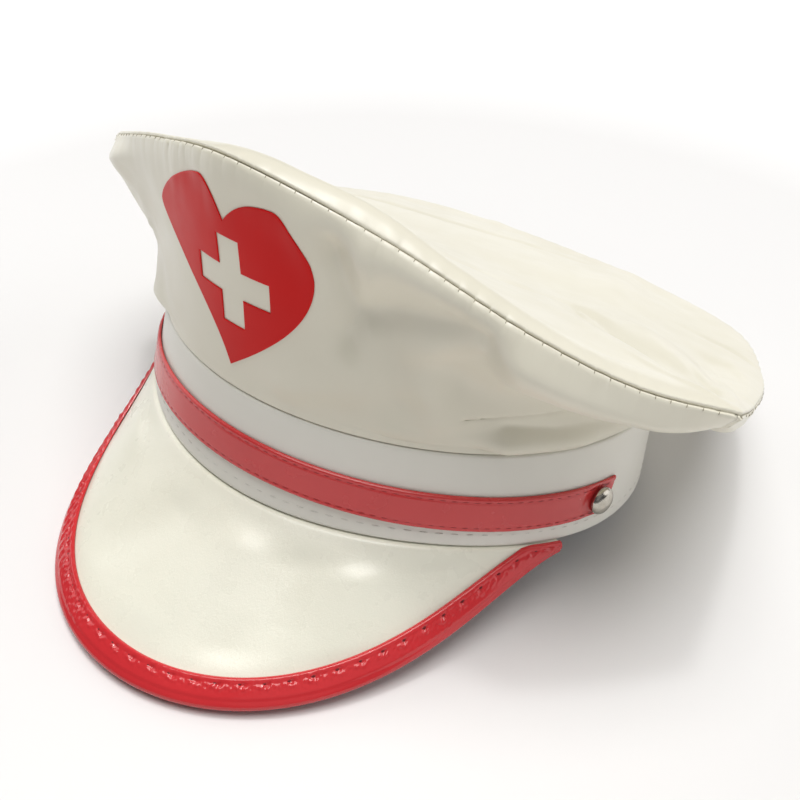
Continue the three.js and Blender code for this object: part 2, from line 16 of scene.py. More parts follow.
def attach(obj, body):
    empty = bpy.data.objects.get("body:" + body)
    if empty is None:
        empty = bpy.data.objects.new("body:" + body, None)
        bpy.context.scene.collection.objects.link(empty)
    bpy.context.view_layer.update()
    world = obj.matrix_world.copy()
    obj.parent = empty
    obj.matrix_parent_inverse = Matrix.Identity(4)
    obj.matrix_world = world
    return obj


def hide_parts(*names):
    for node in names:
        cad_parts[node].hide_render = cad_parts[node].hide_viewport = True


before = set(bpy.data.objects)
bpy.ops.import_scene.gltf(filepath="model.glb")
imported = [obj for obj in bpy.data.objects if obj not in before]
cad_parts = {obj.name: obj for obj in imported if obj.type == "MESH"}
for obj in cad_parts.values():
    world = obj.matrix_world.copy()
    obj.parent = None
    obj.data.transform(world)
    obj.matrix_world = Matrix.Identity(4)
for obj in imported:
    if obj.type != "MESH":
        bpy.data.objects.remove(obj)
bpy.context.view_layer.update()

MM = 0.001

# Place of the cap at rest
REST_TILT = 11.3415
REST_SHIFT = (-0.01, 6.764, 17.896)

# Band
BAND_HALF_WIDTH = 97.0
BAND_HALF_LENGTH = 91.0
BAND_BACK_WIDENING = 2.2
BAND_HEIGHT = 35.0
BAND_TAPER = 3.0
BAND_WALL = 2.0
BAND_EDGE_RISE = 2.0
BAND_EDGE_ROUND = 1.0
BAND_HEM_DEPTH = 0.10
BAND_HEM_WIDTH = 0.8
BAND_SWELL = 0.10
BAND_STITCH_RISE = 4.6
BAND_STITCH_PITCH = 5.0
BAND_STITCH_LENGTH = 2.8
BAND_STITCH_RADIUS = 0.2
BAND_STITCH_SINK = 0.08
EDGE_WALL = 0.2
GAP = 0.3

# Crown
CROWN_WALL = 1.2
CROWN_EDGE_WALL = 0.6
CROWN_EDGE_ROUND = 0.6
RIM_HALF_WIDTH = 133.0
RIM_TIP_FORWARD = 33.0
RIM_TIP_HEIGHT = 71.0
RIM_FRONT_REACH = 101.0
RIM_FRONT_HEIGHT = 113.0
RIM_BACK_REACH = 130.0
RIM_BACK_HEIGHT = 32.0
WALL_HEIGHT = RIM_FRONT_HEIGHT - BAND_HEIGHT
WALL_RADIUS = (BAND_HALF_WIDTH + RIM_HALF_WIDTH) / 2.0
FULL_TURN = 360.0
SIDE_SEAM_TURN = 90.0
LAST_TURN = FULL_TURN - SIDE_SEAM_TURN
FOLD_DEPTH = 4.0
HEM_HEIGHT = 2.0
HEM_SHARE = 0.04
WALL_STAND = 4.0
WALL_STAND_SHARE = 0.4
TOP_CENTRE_BACK = 20.0
TOP_CENTRE_HEIGHT = 62.0
TOP_DISH = 2.0
ROLL_HEIGHT = 8.0
ROLL_LEAN = 0.1
WALL_SWELL = 0.30
TOP_SWELL = 0.25
RIB_HEIGHT = 0.05
RIB_PITCH = 2.1
RIB_SLANT = 0.8
RIB_DROP = 3.5
RIB_SPREAD = 2.5

# Seams of the crown
PUCKER_PITCH = 5.0
PUCKER_DEPTH = 0.5
PUCKER_WAVE_HEIGHT = 0.16
PUCKER_WAVE_PITCH = 8.2
PUCKER_WAVE_FADE = 7.0
SEAM_STITCH_LENGTH = 1.0
SEAM_STITCH_RADIUS = 0.11
SEAM_STITCH_SINK = 0.05
SEAM_STITCH_DROP = 0.35
SEAM_STEP = 0.5
SEAM_CORD = 1.25
SEAM_CORD_END = 0.35
SEAM_CORD_STAND = 0.10
SEAM_CORD_RINGS = 81
SEAM_CORD_TOP = 0.999
SEAM_CORD_FOOT = 0.28

# Visor and its binding
VISOR_DEPTH = 64.8
VISOR_END_DEPTH = 1.0
VISOR_TURN = 1.5
VISOR_HALF_TURN = 72.0
VISOR_END_CUT = 0.03
VISOR_SHARPNESS = 1.55
VISOR_RIGHT_SHARPNESS = 1.23
VISOR_SLOPE = 40.0
VISOR_END_SLOPE = 87.0
VISOR_BEND = 2.0
VISOR_RIGHT_BEND = 1.7
VISOR_WALL = 1.6
VISOR_FLANGE = 7.0
VISOR_ARC = 110.0
VISOR_RUN = 60.0
BINDING_WIDTH = 7.8
BINDING_WALL = 0.8
BINDING_ROOT = 0.2
BINDING_END_ROOT = -1.3
BINDING_END_HUG = 0.45
BINDING_UNDER_ROOT = 1.2
BINDING_END_CUT = 0.03
TAPE_LOFT = 0.45
TAPE_CHANNEL_DEPTH = 0.10
TAPE_DIMPLE_DEPTH = 0.50
TAPE_WRINKLE_HEIGHT = 0.26
TAPE_WRINKLE_PITCH = 4.3
TAPE_CRACKLE_HEIGHT = 0.09
TAPE_PITCH = 7.4
TAPE_STITCH_SHARE = 0.73
TAPE_STITCH_SPAN = 0.93
TAPE_STITCH_LENGTH = 1.5
TAPE_STITCH_RADIUS = 0.3
TAPE_STITCH_STAND = 0.1

# Strap and rivets
STRAP_WIDTH = 12.2
STRAP_RISE = 6.5
STRAP_FRONT_LIFT = 3.0
STRAP_WALL = 1.2
STRAP_PAST_RIVET = 8.5
STRAP_END_SLANT = 4.0
STRAP_EDGE_ROUND = 0.9
STRAP_CHANNEL_DEPTH = 0.20
STRAP_SWELL = 0.12
STRAP_PRESSED_DEPTH = 0.35
STRAP_STITCH_INSET = 1.5
STRAP_STITCH_PITCH = 3.6
STRAP_STITCH_SPAN = 0.985
STRAP_STITCH_LENGTH = 2.4
STRAP_STITCH_RADIUS = 0.15
STRAP_STITCH_SINK = 0.18
RIVET_TURN = 80.5
RIVET_RADIUS = 4.9
RIVET_HEIGHT = 3.2
RIVET_EDGE = 0.7

# Heart and cross
HEART_WIDTH = 69.0
HEART_HEIGHT = 60.0
HEART_TIP_RISE = 43.0
HEART_TIP_OFFSET = -5.0
HEART_FILM = 0.35
HEART_FILM_EDGE = 0.08
HEART_FILM_ROUND = 0.5
HEART_FILM_STAND = 0.10
HEART_GUESS_RADIUS = 112.0
CROSS_SPAN = 29.6
CROSS_ARM = 9.2
CROSS_ABOVE_TIP = 30.7
CROSS_ASIDE = 2.6

# Grids of the small round pieces
RIVET_COLUMNS = 64
SEAM_CORD_COLUMNS = 16
STITCH_ROWS = 7
STITCH_COLUMNS = 8

# The photograph's camera
CAMERA_AZIMUTH = 34.7
CAMERA_ELEVATION = 28.0
CAMERA_ROLL = 9.3
CAMERA_DISTANCE = 380.0
CAMERA_TARGET = (0.1, -15.2, 20.5)
CAMERA_FOCUS_PIXELS = 1018.0
CAMERA_AXIS_PIXEL = (379.7, 364.6)
IMAGE_PIXELS = 800.0
SENSOR_WIDTH = 36.0

# The floor, a square in metres, and how far from its middle its painted light turns it pale
FLOOR_HALF = 3.0
FLOOR_PAINTED_LIGHT_NEAR = 0.22
FLOOR_PAINTED_LIGHT_FAR = 0.55

# Rim seam from the wearer's left tip to the right one, over the front and round the back. Shares of
# the half width, of the way from the tips to the middle of the front or back, and of the climb or
# fall on that way.
FRONT_RIM = (
    (1.00, 0.00, 0.00),
    (0.84, 0.34, 0.15),
    (0.66, 0.61, 0.40),
    (0.34, 0.82, 0.76),
    (0.00, 1.00, 1.00),
    (-0.34, 0.78, 0.77),
    (-0.66, 0.48, 0.44),
    (-1.00, 0.00, 0.00),
)
BACK_RIM = (
    (1.00, 0.00, 0.00),
    (0.97, 0.17, 0.27),
    (0.86, 0.57, 0.76),
    (0.66, 0.87, 0.95),
    (0.34, 0.98, 1.00),
    (0.00, 1.00, 1.00),
    (-0.34, 0.98, 1.00),
    (-0.66, 0.87, 0.95),
    (-0.86, 0.57, 0.76),
    (-0.97, 0.17, 0.27),
    (-1.00, 0.00, 0.00),
)

# Folds in the side wall, each along a line: turn, rise, end turn, end rise, spread, depth.
# Turns are in degrees, rise and spread are shares of the wall's height, depth of FOLD_DEPTH.
WALL_FOLDS = (
    (30, 0.78, 33, 0.45, 0.13, -0.60),
    (36, 0.72, 40, 0.30, 0.12, 0.45),
    (44, 0.62, 70, 0.55, 0.20, -0.70),
    (54, 0.84, 98, 0.82, 0.15, 1.90),
    (55, 0.14, 88, 0.18, 0.12, 0.90),
    (-84, 0.92, -76, 0.40, 0.08, -0.50),
    (-80, 0.92, -66, 0.45, 0.07, 0.45),
    (-76, 0.90, -58, 0.45, 0.09, -0.55),
    (-88, 0.07, -46, 0.07, 0.25, 1.30),
    (-84, 0.34, -48, 0.34, 0.14, 0.38),
    (-84, 0.71, -48, 0.67, 0.12, 0.46),
    (-90, 1.00, -60, 0.91, 0.30, 1.65),
    (90, 0.92, 80, 0.45, 0.08, -0.45),
    (110, 0.80, 150, 0.70, 0.22, 0.50),
    (180, 0.70, 182, 0.20, 0.20, -0.50),
    (212, 0.75, 250, 0.80, 0.22, 0.50),
)

# Folds in the top panel: across, back, end across, end back, spread, depth. Shares of the rim's
# half width and of its reach to the back, depth of FOLD_DEPTH.
TOP_FOLDS = (
    (0.90, -0.16, 0.50, -0.02, 0.06, -0.60),
    (0.90, -0.12, 0.62, 0.14, 0.06, 0.45),
    (0.90, -0.05, 0.76, 0.28, 0.06, -0.50),
    (-0.90, -0.16, -0.48, 0.00, 0.06, -0.60),
    (-0.90, -0.08, -0.66, 0.20, 0.06, 0.45),
    (-0.30, 0.10, 0.30, 0.16, 0.22, -0.80),
)

# Height of the padded roll along the top panel's seam: turn, share of ROLL_HEIGHT.
ROLL = (
    (-90, 0.15),
    (-55, 0.10),
    (-20, 0.20),
    (8, 0.62),
    (22, 0.80),
    (40, 0.52),
    (65, 0.28),
    (90, 0.12),
    (180, 0.12),
    (270, 0.15),
)

# Distance from the seam to the roll's crest, in millimetres: turn, distance.
ROLL_CREST = (
    (-90, 8.5),
    (15, 8.5),
    (50, 7.5),
    (90, 7.0),
    (180, 8.0),
    (270, 8.5),
)

# How far the wall swells out under the rim seam, most at LIP_WIDTH below it: turn, swell.
LIP_WIDTH = 4.5
LIP = (
    (-90, 0.3),
    (-60, 0.5),
    (-20, 0.9),
    (15, 2.0),
    (35, 3.3),
    (75, 3.1),
    (90, 1.6),
    (180, 1.4),
    (270, 0.3),
)

# Creases in the side wall: width, first and last height in millimetres (below 0 is a groove),
# then the places along it as turn in degrees and share of the wall's height.
WALL_CREASES = (
    (1.7, -0.7, -0.1, (-87, 0.99), (-66, 0.83), (-49, 0.60)),
    (1.4, 0.6, 0.1, (-86, 0.96), (-63, 0.77), (-46, 0.54)),
    (1.8, -0.7, -0.1, (-86, 0.92), (-66, 0.70), (-50, 0.48)),
    (1.6, 0.6, 0.0, (-85, 0.86), (-69, 0.62), (-56, 0.44)),
    (2.4, 0.6, 0.2, (-80, 0.985), (-58, 0.88), (-40, 0.68)),
    (1.6, -0.5, 0.0, (-76, 0.98), (-54, 0.92), (-38, 0.76)),
    (1.4, -0.6, 0.0, (-50, 0.61), (-42, 0.54), (-36, 0.43)),
    (1.6, 0.5, 0.0, (-46, 0.63), (-38, 0.55), (-33, 0.46)),
    (5.0, -1.0, -0.4, (-14, 0.97), (-8, 0.90)),
    (7.0, -1.0, -0.5, (1, 0.94), (8, 0.88), (13, 0.80)),
    (5.0, 0.9, 0.4, (13, 0.94), (16, 0.86)),
    (6.0, -4.6, -2.6, (19, 0.90), (22, 0.78)),
    (3.0, 1.7, 0.3, (24, 0.985), (25, 0.90), (24, 0.81), (21, 0.72)),
    (2.8, 1.0, 0.1, (28, 0.97), (27, 0.88)),
    (6.5, -2.8, -3.6, (22, 0.66), (24, 0.75), (31, 0.83), (39, 0.90), (46, 0.92)),
    (5.0, 2.6, 0.6, (45, 0.88), (40, 0.79), (35, 0.70)),
    (1.2, -0.45, -0.2, (45, 0.34), (58, 0.38), (72, 0.41)),
    (3.6, -0.8, -0.6, (54, 0.29), (64, 0.26), (78, 0.26)),
    (5.0, 0.5, 0.4, (32, 0.16), (52, 0.16), (72, 0.16)),
    (9.0, 1.8, 1.2, (12, 0.30), (24, 0.44), (36, 0.50)),
    (3.0, -0.6, 0.0, (96, 0.96), (108, 0.70)),
    (2.4, 0.6, 0.0, (100, 0.96), (118, 0.66)),
    (5.0, -0.8, -0.2, (138, 0.94), (146, 0.55)),
    (3.0, 0.7, 0.0, (176, 0.95), (171, 0.50)),
    (4.0, -0.8, -0.2, (196, 0.94), (204, 0.48)),
    (2.4, 0.6, 0.0, (252, 0.96), (240, 0.62)),
    (2.4, -0.6, 0.0, (262, 0.96), (250, 0.60)),
)

# Creases in the top panel, with places as shares across and back, as in TOP_FOLDS.
TOP_CREASES = (
    (3.0, -1.5, -0.5, (-0.63, 0.43), (-0.25, 0.50), (-0.05, 0.68), (0.13, 0.78)),
    (4.0, -1.5, -0.7, (0.10, -0.40), (0.23, -0.12), (0.41, 0.04), (0.52, 0.01)),
    (1.2, 0.7, 0.3, (0.50, 0.01), (0.59, -0.06)),
    (2.4, -1.7, -0.5, (0.97, -0.25), (0.84, -0.20), (0.70, -0.10), (0.60, -0.06)),
    (2.0, 1.3, 0.2, (0.96, -0.26), (0.86, -0.27), (0.72, -0.22)),
    (2.0, -1.4, 0.0, (0.96, -0.22), (0.84, -0.08), (0.70, 0.08)),
    (1.2, 0.8, 0.3, (0.78, 0.10), (0.68, 0.19)),
    (2.0, 1.4, 0.2, (0.96, -0.18), (0.86, 0.06), (0.76, 0.22)),
    (2.4, -1.7, -0.3, (0.96, -0.12), (0.90, 0.14), (0.80, 0.32)),
    (2.4, -0.9, -0.2, (0.84, 0.50), (0.72, 0.52), (0.58, 0.50)),
    (2.2, 1.2, 0.0, (0.94, 0.00), (0.88, 0.24), (0.76, 0.42)),
    (10.0, 2.2, 1.6, (0.26, 0.86), (0.40, 0.40), (0.50, 0.05)),
    (2.0, -0.9, -0.1, (-0.97, -0.24), (-0.84, -0.14), (-0.66, 0.02)),
    (1.8, 0.7, 0.0, (-0.96, -0.20), (-0.82, 0.04), (-0.66, 0.16)),
    (2.0, -0.8, 0.0, (-0.96, -0.14), (-0.86, 0.14), (-0.74, 0.30)),
    (5.0, 0.9, 0.2, (-0.30, 0.95), (-0.22, 0.60)),
    (4.0, -0.8, -0.2, (0.05, 0.97), (-0.02, 0.66)),
    (5.0, 0.8, 0.2, (-0.62, 0.72), (-0.46, 0.46)),
)

# Dents of the visor's sheet, in the form of WALL_CREASES: places are shares of VISOR_ARC from the
# middle to an end and of VISOR_RUN from the band to the edge.
VISOR_CREASES = (
    (8.0, -1.0, -0.5, (-0.10, 0.25), (-0.18, 0.60)),
    (7.0, 1.0, 0.6, (0.10, 0.20), (0.04, 0.55), (0.00, 0.75)),
    (8.0, -1.3, -0.8, (0.26, 0.20), (0.24, 0.55), (0.20, 0.75)),
    (7.0, 1.1, 0.6, (0.42, 0.30), (0.40, 0.70)),
    (9.0, -0.8, -0.5, (0.60, 0.25), (0.58, 0.65)),
    (9.0, 0.8, 0.5, (-0.45, 0.25), (-0.50, 0.65)),
)

# The heart's outline from its tip: two control points and an end for each curve, as shares of
# the width and the height.
HEART_OUTLINE = (
    (0.165, 0.15, 0.460, 0.40, 0.460, 0.68),
    (0.460, 0.80, 0.375, 1.00, 0.300, 1.00),
    (0.160, 1.00, 0.075, 0.92, 0.025, 0.845),
    (-0.010, 0.92, -0.035, 1.03, -0.115, 1.03),
    (-0.230, 1.01, -0.520, 0.83, -0.560, 0.70),
    (-0.575, 0.60, -0.150, 0.42, 0.000, 0.00),
)


# Plain helpers

def lerp(a, b, share):
    """Value at a share of the way from a to b."""
    return a + (b - a) * share


def smooth(x, low, high):
    """Rises from 0 at low to 1 at high, level at both ends."""
    share = np.clip((x - low) / (high - low), 0.0, 1.0)
    return share * share * (3.0 - 2.0 * share)


def unit(vectors):
    """The same directions with length 1."""
    return vectors / np.linalg.norm(vectors, axis=-1, keepdims=True)


def stack(x, y, z):
    """Points from their three coordinates."""
    return np.stack(np.broadcast_arrays(x, y, z), axis=-1).astype(float)


def scaled(vectors, factor):
    """Each vector times its own factor."""
    return vectors * np.asarray(factor)[..., None]


def with_edges(count, edge):
    """Shares from 0 to 1 for count even steps, with four more rows close to each end."""
    inner = np.linspace(0.0, 1.0, count + 1)[1:-1]
    close = edge * np.array([0.0, 0.07, 0.26, 0.6])
    return np.concatenate([close, inner[inner > edge], 1.0 - close[::-1]])


def quarter_round(distance, radius):
    """Height of a quarter circle, as a share of its radius, at a distance in from its foot."""
    inside = np.clip(distance / radius, 0.0, 1.0)
    return np.sqrt(1.0 - (1.0 - inside) ** 2)


def rounded(wall, edge_wall, distance, radius):
    """A sheet's thickness at a distance from its edge: edge_wall there, rounded up to wall."""
    return edge_wall + (wall - edge_wall) * quarter_round(distance, radius)


def bell(distance, width):
    """A bell curve: 1 at distance 0, and a little over a third at the width."""
    return np.exp(-((distance / width) ** 2))


def full_circle(count):
    """Angles of even steps once round, the first of them 0."""
    return np.linspace(0.0, 2.0 * math.pi, count + 1)[:-1]


def length_passed(points):
    """Length from the first point of a line to each of its points."""
    return np.concatenate([[0.0], np.cumsum(np.linalg.norm(np.diff(points, axis=0), axis=1))])


def ripple(x, wavelength, phase, sharpness=1.0):
    """Even pulses of height 1 along x, narrower as sharpness grows."""
    wave = 0.5 + 0.5 * np.cos(2.0 * math.pi * (x / wavelength + phase))
    return wave ** sharpness


def unevenness(x, y, size):
    """Gentle irregular swell between about -1 and 1: four crossing sine waves."""
    swell = np.sin(x / size + 1.3 * np.sin(y / size * 0.7 + 0.5))
    swell = swell + np.sin(0.63 * x / size - 0.81 * y / size + 2.1)
    swell = swell + np.sin(1.37 * y / size + 0.44 * x / size + 4.0)
    swell = swell + np.sin(1.9 * x / size + 1.1 * y / size + 0.9)
    return swell / 2.6


def grid_normals(points, around=False):
    """Unit normals of a grid of points: way along a row crossed with way to the next row."""
    if around:
        wide = np.concatenate([points[:, -1:], points, points[:, :1]], axis=1)
        along = wide[:, 2:] - wide[:, :-2]
    else:
        along = np.gradient(points, axis=1)
    onward = np.gradient(points, axis=0)
    return unit(np.cross(along, onward) + 1e-12)


def to_rest(points):
    """Tips points back by the rest tilt, sets them down and turns them into metres."""
    tilt = math.radians(REST_TILT)
    x, y, z = points[..., 0], points[..., 1], points[..., 2]
    back = y * math.cos(tilt) + z * math.sin(tilt)
    up = z * math.cos(tilt) - y * math.sin(tilt)
    tipped = stack(x, back, up)
    return (tipped + np.array(REST_SHIFT)) * MM


def add_piece(name, points, faces, material, node):
    """A mesh of points and faces, smooth shaded, that stands for a node and rides on the cap."""
    mesh = bpy.data.meshes.new(name)
    mesh.from_pydata(to_rest(points).tolist(), [], faces)
    mesh.polygons.foreach_set("use_smooth", [True] * len(mesh.polygons))
    mesh.materials.append(material)
    mesh.update()
    piece = bpy.data.objects.new(name, mesh)
    bpy.context.scene.collection.objects.link(piece)
    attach(piece, "root")
    if node:
        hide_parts(node)
    return piece


def shell_faces(rows, columns, around=False):
    """Faces of a closed sheet: an outer grid, the same grid inside it, and strips at open sides."""
    count = rows * columns
    ids = np.arange(count).reshape(rows, columns)
    if around:
        ids = np.concatenate([ids, ids[:, :1]], axis=1)
    a, b, c, d = ids[:-1, :-1], ids[:-1, 1:], ids[1:, 1:], ids[1:, :-1]
    outer = np.stack([a, b, c, d], axis=-1).reshape(-1, 4)
    sides = [(b[0], a[0]), (d[-1], c[-1])]
    if not around:
        sides += [(a[:, 0], d[:, 0]), (c[:, -1], b[:, -1])]
    strips = [np.stack([p, q, q + count, p + count], axis=-1) for p, q in sides]
    return np.concatenate([outer, outer[:, ::-1] + count, *strips]).tolist()


def ring_faces(rows, columns):
    """Faces of a tube: rows of points, each row a closed ring, with a cap on both ends."""
    ids = np.arange(rows * columns).reshape(rows, columns)
    around = np.roll(ids, -1, axis=1)
    a, b, c, d = ids[:-1], around[:-1], around[1:], ids[1:]
    faces = np.stack([a, b, c, d], axis=-1).reshape(-1, 4).tolist()
    return faces + [ids[0][::-1].tolist(), ids[-1].tolist()]


def add_shell(name, outer, inner, material, node, around=False):
    """A closed sheet between two grids of points."""
    points = np.concatenate([outer.reshape(-1, 3), inner.reshape(-1, 3)])
    faces = shell_faces(*outer.shape[:2], around)
    return add_piece(name, points, faces, material, node)


def add_tube(name, rings, material, node):
    """A closed tube through rings of points."""
    faces = ring_faces(*rings.shape[:2])
    return add_piece(name, rings.reshape(-1, 3), faces, material, node)


# Materials

def new_material(name):
    """A material, its nodes and links, its shader, and the place on the piece in metres."""
    material = bpy.data.materials.new(name)
    material.use_nodes = True
    nodes, links = material.node_tree.nodes, material.node_tree.links
    place = nodes.new("ShaderNodeTexCoord").outputs["Object"]
    return material, nodes, links, nodes["Principled BSDF"], place


def noise(nodes, links, coordinates, scale, detail, roughness=0.5):
    """Cloudy noise, mostly between 0.3 and 0.7: scale in patches to the metre."""
    node = nodes.new("ShaderNodeTexNoise")
    node.inputs["Scale"].default_value = scale
    node.inputs["Detail"].default_value = detail
    node.inputs["Roughness"].default_value = roughness
    links.new(coordinates, node.inputs["Vector"])
    return node.outputs["Fac"]


def colour_between(nodes, links, factor, low, high, from_value=0.3, to_value=0.7):
    """A colour that runs from low to high between two values of a factor."""
    ramp = nodes.new("ShaderNodeValToRGB")
    ramp.color_ramp.elements[0].position = from_value
    ramp.color_ramp.elements[0].color = (*low, 1.0)
    ramp.color_ramp.elements[1].position = to_value
    ramp.color_ramp.elements[1].color = (*high, 1.0)
    links.new(factor, ramp.inputs["Fac"])
    return ramp.outputs["Color"]


def add_bump(nodes, links, height, strength, distance, normal=None):
    """Relief too fine to model: a height pattern, its strength and its depth in metres."""
    bump = nodes.new("ShaderNodeBump")
    bump.inputs["Strength"].default_value = strength
    bump.inputs["Distance"].default_value = distance
    links.new(height, bump.inputs["Height"])
    if normal is not None:
        links.new(normal, bump.inputs["Normal"])
    return bump.outputs["Normal"]


def vary_roughness(nodes, links, factor, low, high, shader):
    """Roughness between low and high, patch by patch."""
    spread = nodes.new("ShaderNodeMapRange")
    spread.inputs["From Min"].default_value = 0.3
    spread.inputs["From Max"].default_value = 0.7
    spread.inputs["To Min"].default_value = low
    spread.inputs["To Max"].default_value = high
    links.new(factor, spread.inputs["Value"])
    links.new(spread.outputs["Result"], shader.inputs["Roughness"])


def vinyl(name, low, high, roughness, grain, grain_depth, coat, specular):
    """Vinyl sheet: two close colours in slow patches, a fine slanting grain, and a clear gloss."""
    material, nodes, links, shader, place = new_material(name)
    patches = noise(nodes, links, place, scale=18.0, detail=3.0)
    links.new(colour_between(nodes, links, patches, low, high), shader.inputs["Base Color"])
    dull_spots = noise(nodes, links, place, scale=90.0, detail=4.0)
    vary_roughness(nodes, links, dull_spots, *roughness, shader)
    dents = noise(nodes, links, place, scale=60.0, detail=2.0)
    swell = add_bump(nodes, links, dents, strength=0.35, distance=0.0004)
    slant = nodes.new("ShaderNodeMapping")
    slant.inputs["Scale"].default_value = (1.0, 0.35, 1.0)
    links.new(place, slant.inputs["Vector"])
    threads = noise(nodes, links, slant.outputs["Vector"], scale=grain, detail=3.0, roughness=0.6)
    fine = add_bump(nodes, links, threads, strength=grain_depth, distance=0.0001, normal=swell)
    links.new(fine, shader.inputs["Normal"])
    shader.inputs["Coat Weight"].default_value = coat
    shader.inputs["Coat Roughness"].default_value = 0.16
    shader.inputs["Specular IOR Level"].default_value = specular
    return material


def polished_nickel():
    """Bright metal with fine wear in its tint and its gloss."""
    material, nodes, links, shader, place = new_material("polished_nickel")
    shader.inputs["Metallic"].default_value = 1.0
    wear = noise(nodes, links, place, scale=700.0, detail=4.0)
    tint = colour_between(nodes, links, wear, (0.44, 0.41, 0.35), (0.56, 0.53, 0.47))
    links.new(tint, shader.inputs["Base Color"])
    vary_roughness(nodes, links, wear, 0.14, 0.26, shader)
    return material


def thread(name, colour):
    """Dull sewing thread, darker between its fibres."""
    material, nodes, links, shader, place = new_material(name)
    fibre = noise(nodes, links, place, scale=4000.0, detail=2.0)
    dark = tuple(0.7 * part for part in colour)
    links.new(colour_between(nodes, links, fibre, dark, colour), shader.inputs["Base Color"])
    shader.inputs["Roughness"].default_value = 0.75
    return material


def paper_floor():
    """A pale matte floor, a little greyer round the cap and painted paler further off: painted light."""
    material, nodes, links, shader, place = new_material("pale_floor")
    away = nodes.new("ShaderNodeVectorMath")
    away.operation = "LENGTH"
    links.new(place, away.inputs[0])
    painted_light_share = nodes.new("ShaderNodeMapRange")
    painted_light_share.inputs["From Min"].default_value = FLOOR_PAINTED_LIGHT_NEAR
    painted_light_share.inputs["From Max"].default_value = FLOOR_PAINTED_LIGHT_FAR
    links.new(away.outputs["Value"], painted_light_share.inputs["Value"])
    # painted light: the far floor is painted paler so that it reads as a brightly lit backdrop
    near_tint, far_painted_light = (0.79, 0.78, 0.775), (0.95, 0.95, 0.95)
    tint = colour_between(nodes, links, painted_light_share.outputs["Result"], near_tint, far_painted_light)
    links.new(tint, shader.inputs["Base Color"])
    shader.inputs["Roughness"].default_value = 0.6
    return material


crown_vinyl = vinyl(
    "crown_vinyl", (0.735, 0.70, 0.58), (0.79, 0.755, 0.635), roughness=(0.28, 0.40),
    grain=2600.0, grain_depth=0.03, coat=0.1, specular=0.45,
)
band_vinyl = vinyl(
    "band_vinyl", (0.74, 0.72, 0.65), (0.79, 0.77, 0.70), roughness=(0.30, 0.42),
    grain=2600.0, grain_depth=0.03, coat=0.1, specular=0.5,
)
visor_vinyl = vinyl(
    "visor_vinyl", (0.80, 0.785, 0.66), (0.87, 0.86, 0.74), roughness=(0.24, 0.34),
    grain=2200.0, grain_depth=0.55, coat=0.1, specular=0.6,
)
binding_vinyl = vinyl(
    "binding_vinyl", (0.54, 0.024, 0.030), (0.63, 0.034, 0.040), roughness=(0.10, 0.18),
    grain=1500.0, grain_depth=0.05, coat=0.0, specular=0.5,
)
strap_vinyl = vinyl(
    "strap_vinyl", (0.56, 0.032, 0.034), (0.64, 0.045, 0.046), roughness=(0.20, 0.30),
    grain=1500.0, grain_depth=0.05, coat=0.2, specular=0.5,
)
heart_film = vinyl(
    "heart_film", (0.58, 0.007, 0.007), (0.66, 0.010, 0.009), roughness=(0.30, 0.40),
    grain=2600.0, grain_depth=0.04, coat=0.0, specular=0.12,
)
rivet_metal = polished_nickel()
white_thread = thread("white_thread", (0.80, 0.785, 0.72))
# painted shade: the tape's red thread is darkened so its stitches stand for the shade in the stitch
# holes
red_thread_painted_shade = thread("red_thread_painted_shade", (0.16, 0.008, 0.010))
strap_thread = thread("strap_thread", (0.42, 0.02, 0.024))
# painted shade: the rim seam's thread is coloured dark so its ticks stand for the shade in each pucker's
# notch
seam_thread_painted_shade = thread("seam_thread_painted_shade", (0.40, 0.36, 0.26))


# Band

def band_normal(turn):
    """Outward direction of the band's plan, square to it."""
    angle = np.radians(turn)
    half_width = BAND_HALF_WIDTH - BAND_BACK_WIDENING * np.cos(angle)
    dx = half_width * np.cos(angle) + BAND_BACK_WIDENING * np.sin(angle) ** 2
    dy = BAND_HALF_LENGTH * np.sin(angle)
    return unit(stack(dy, -dx, 0.0))


def band_point(turn, height, out):
    """Point on the band's outside: an oval plan, wider at the back, that tapers with height."""
    angle = np.radians(turn)
    half_width = BAND_HALF_WIDTH - BAND_BACK_WIDENING * np.cos(angle)
    plan = stack(half_width * np.sin(angle), -BAND_HALF_LENGTH * np.cos(angle), height)
    return plan + scaled(band_normal(turn), out - BAND_TAPER * (height / BAND_HEIGHT))


def edge_rise(turn):
    """The band's lower edge rises a little on both sides of the visor's middle."""
    lift = BAND_EDGE_RISE * np.sin(np.radians(2.0 * turn)) ** 2
    return np.where(np.abs(turn) > 90.0, 0.0, lift)


def build_band():
    """An oval ring: straight sides with rounded edges, a faint hem and slow swells."""
    turns = np.linspace(-180.0, 180.0, 401)[:-1][None, :]
    shares = with_edges(26, 0.03)[:, None]
    height = lerp(edge_rise(turns), BAND_HEIGHT, shares)
    edge = np.minimum(shares, 1.0 - shares) * BAND_HEIGHT
    thick = rounded(BAND_WALL, EDGE_WALL, edge, BAND_EDGE_ROUND)
    arc = np.radians(turns) * BAND_HALF_LENGTH
    swell = BAND_SWELL * unevenness(arc, height, 14.0) * smooth(edge, 0.0, 6.0)
    hem = BAND_HEM_DEPTH * bell(height - edge_rise(turns) - BAND_STITCH_RISE, BAND_HEM_WIDTH)
    outer = band_point(turns, height, thick - BAND_WALL + swell - hem)
    inner = band_point(turns, height, -BAND_WALL + 0.0 * thick)
    return add_shell("head_band", outer, inner, band_vinyl, "band", around=True)


# Crown

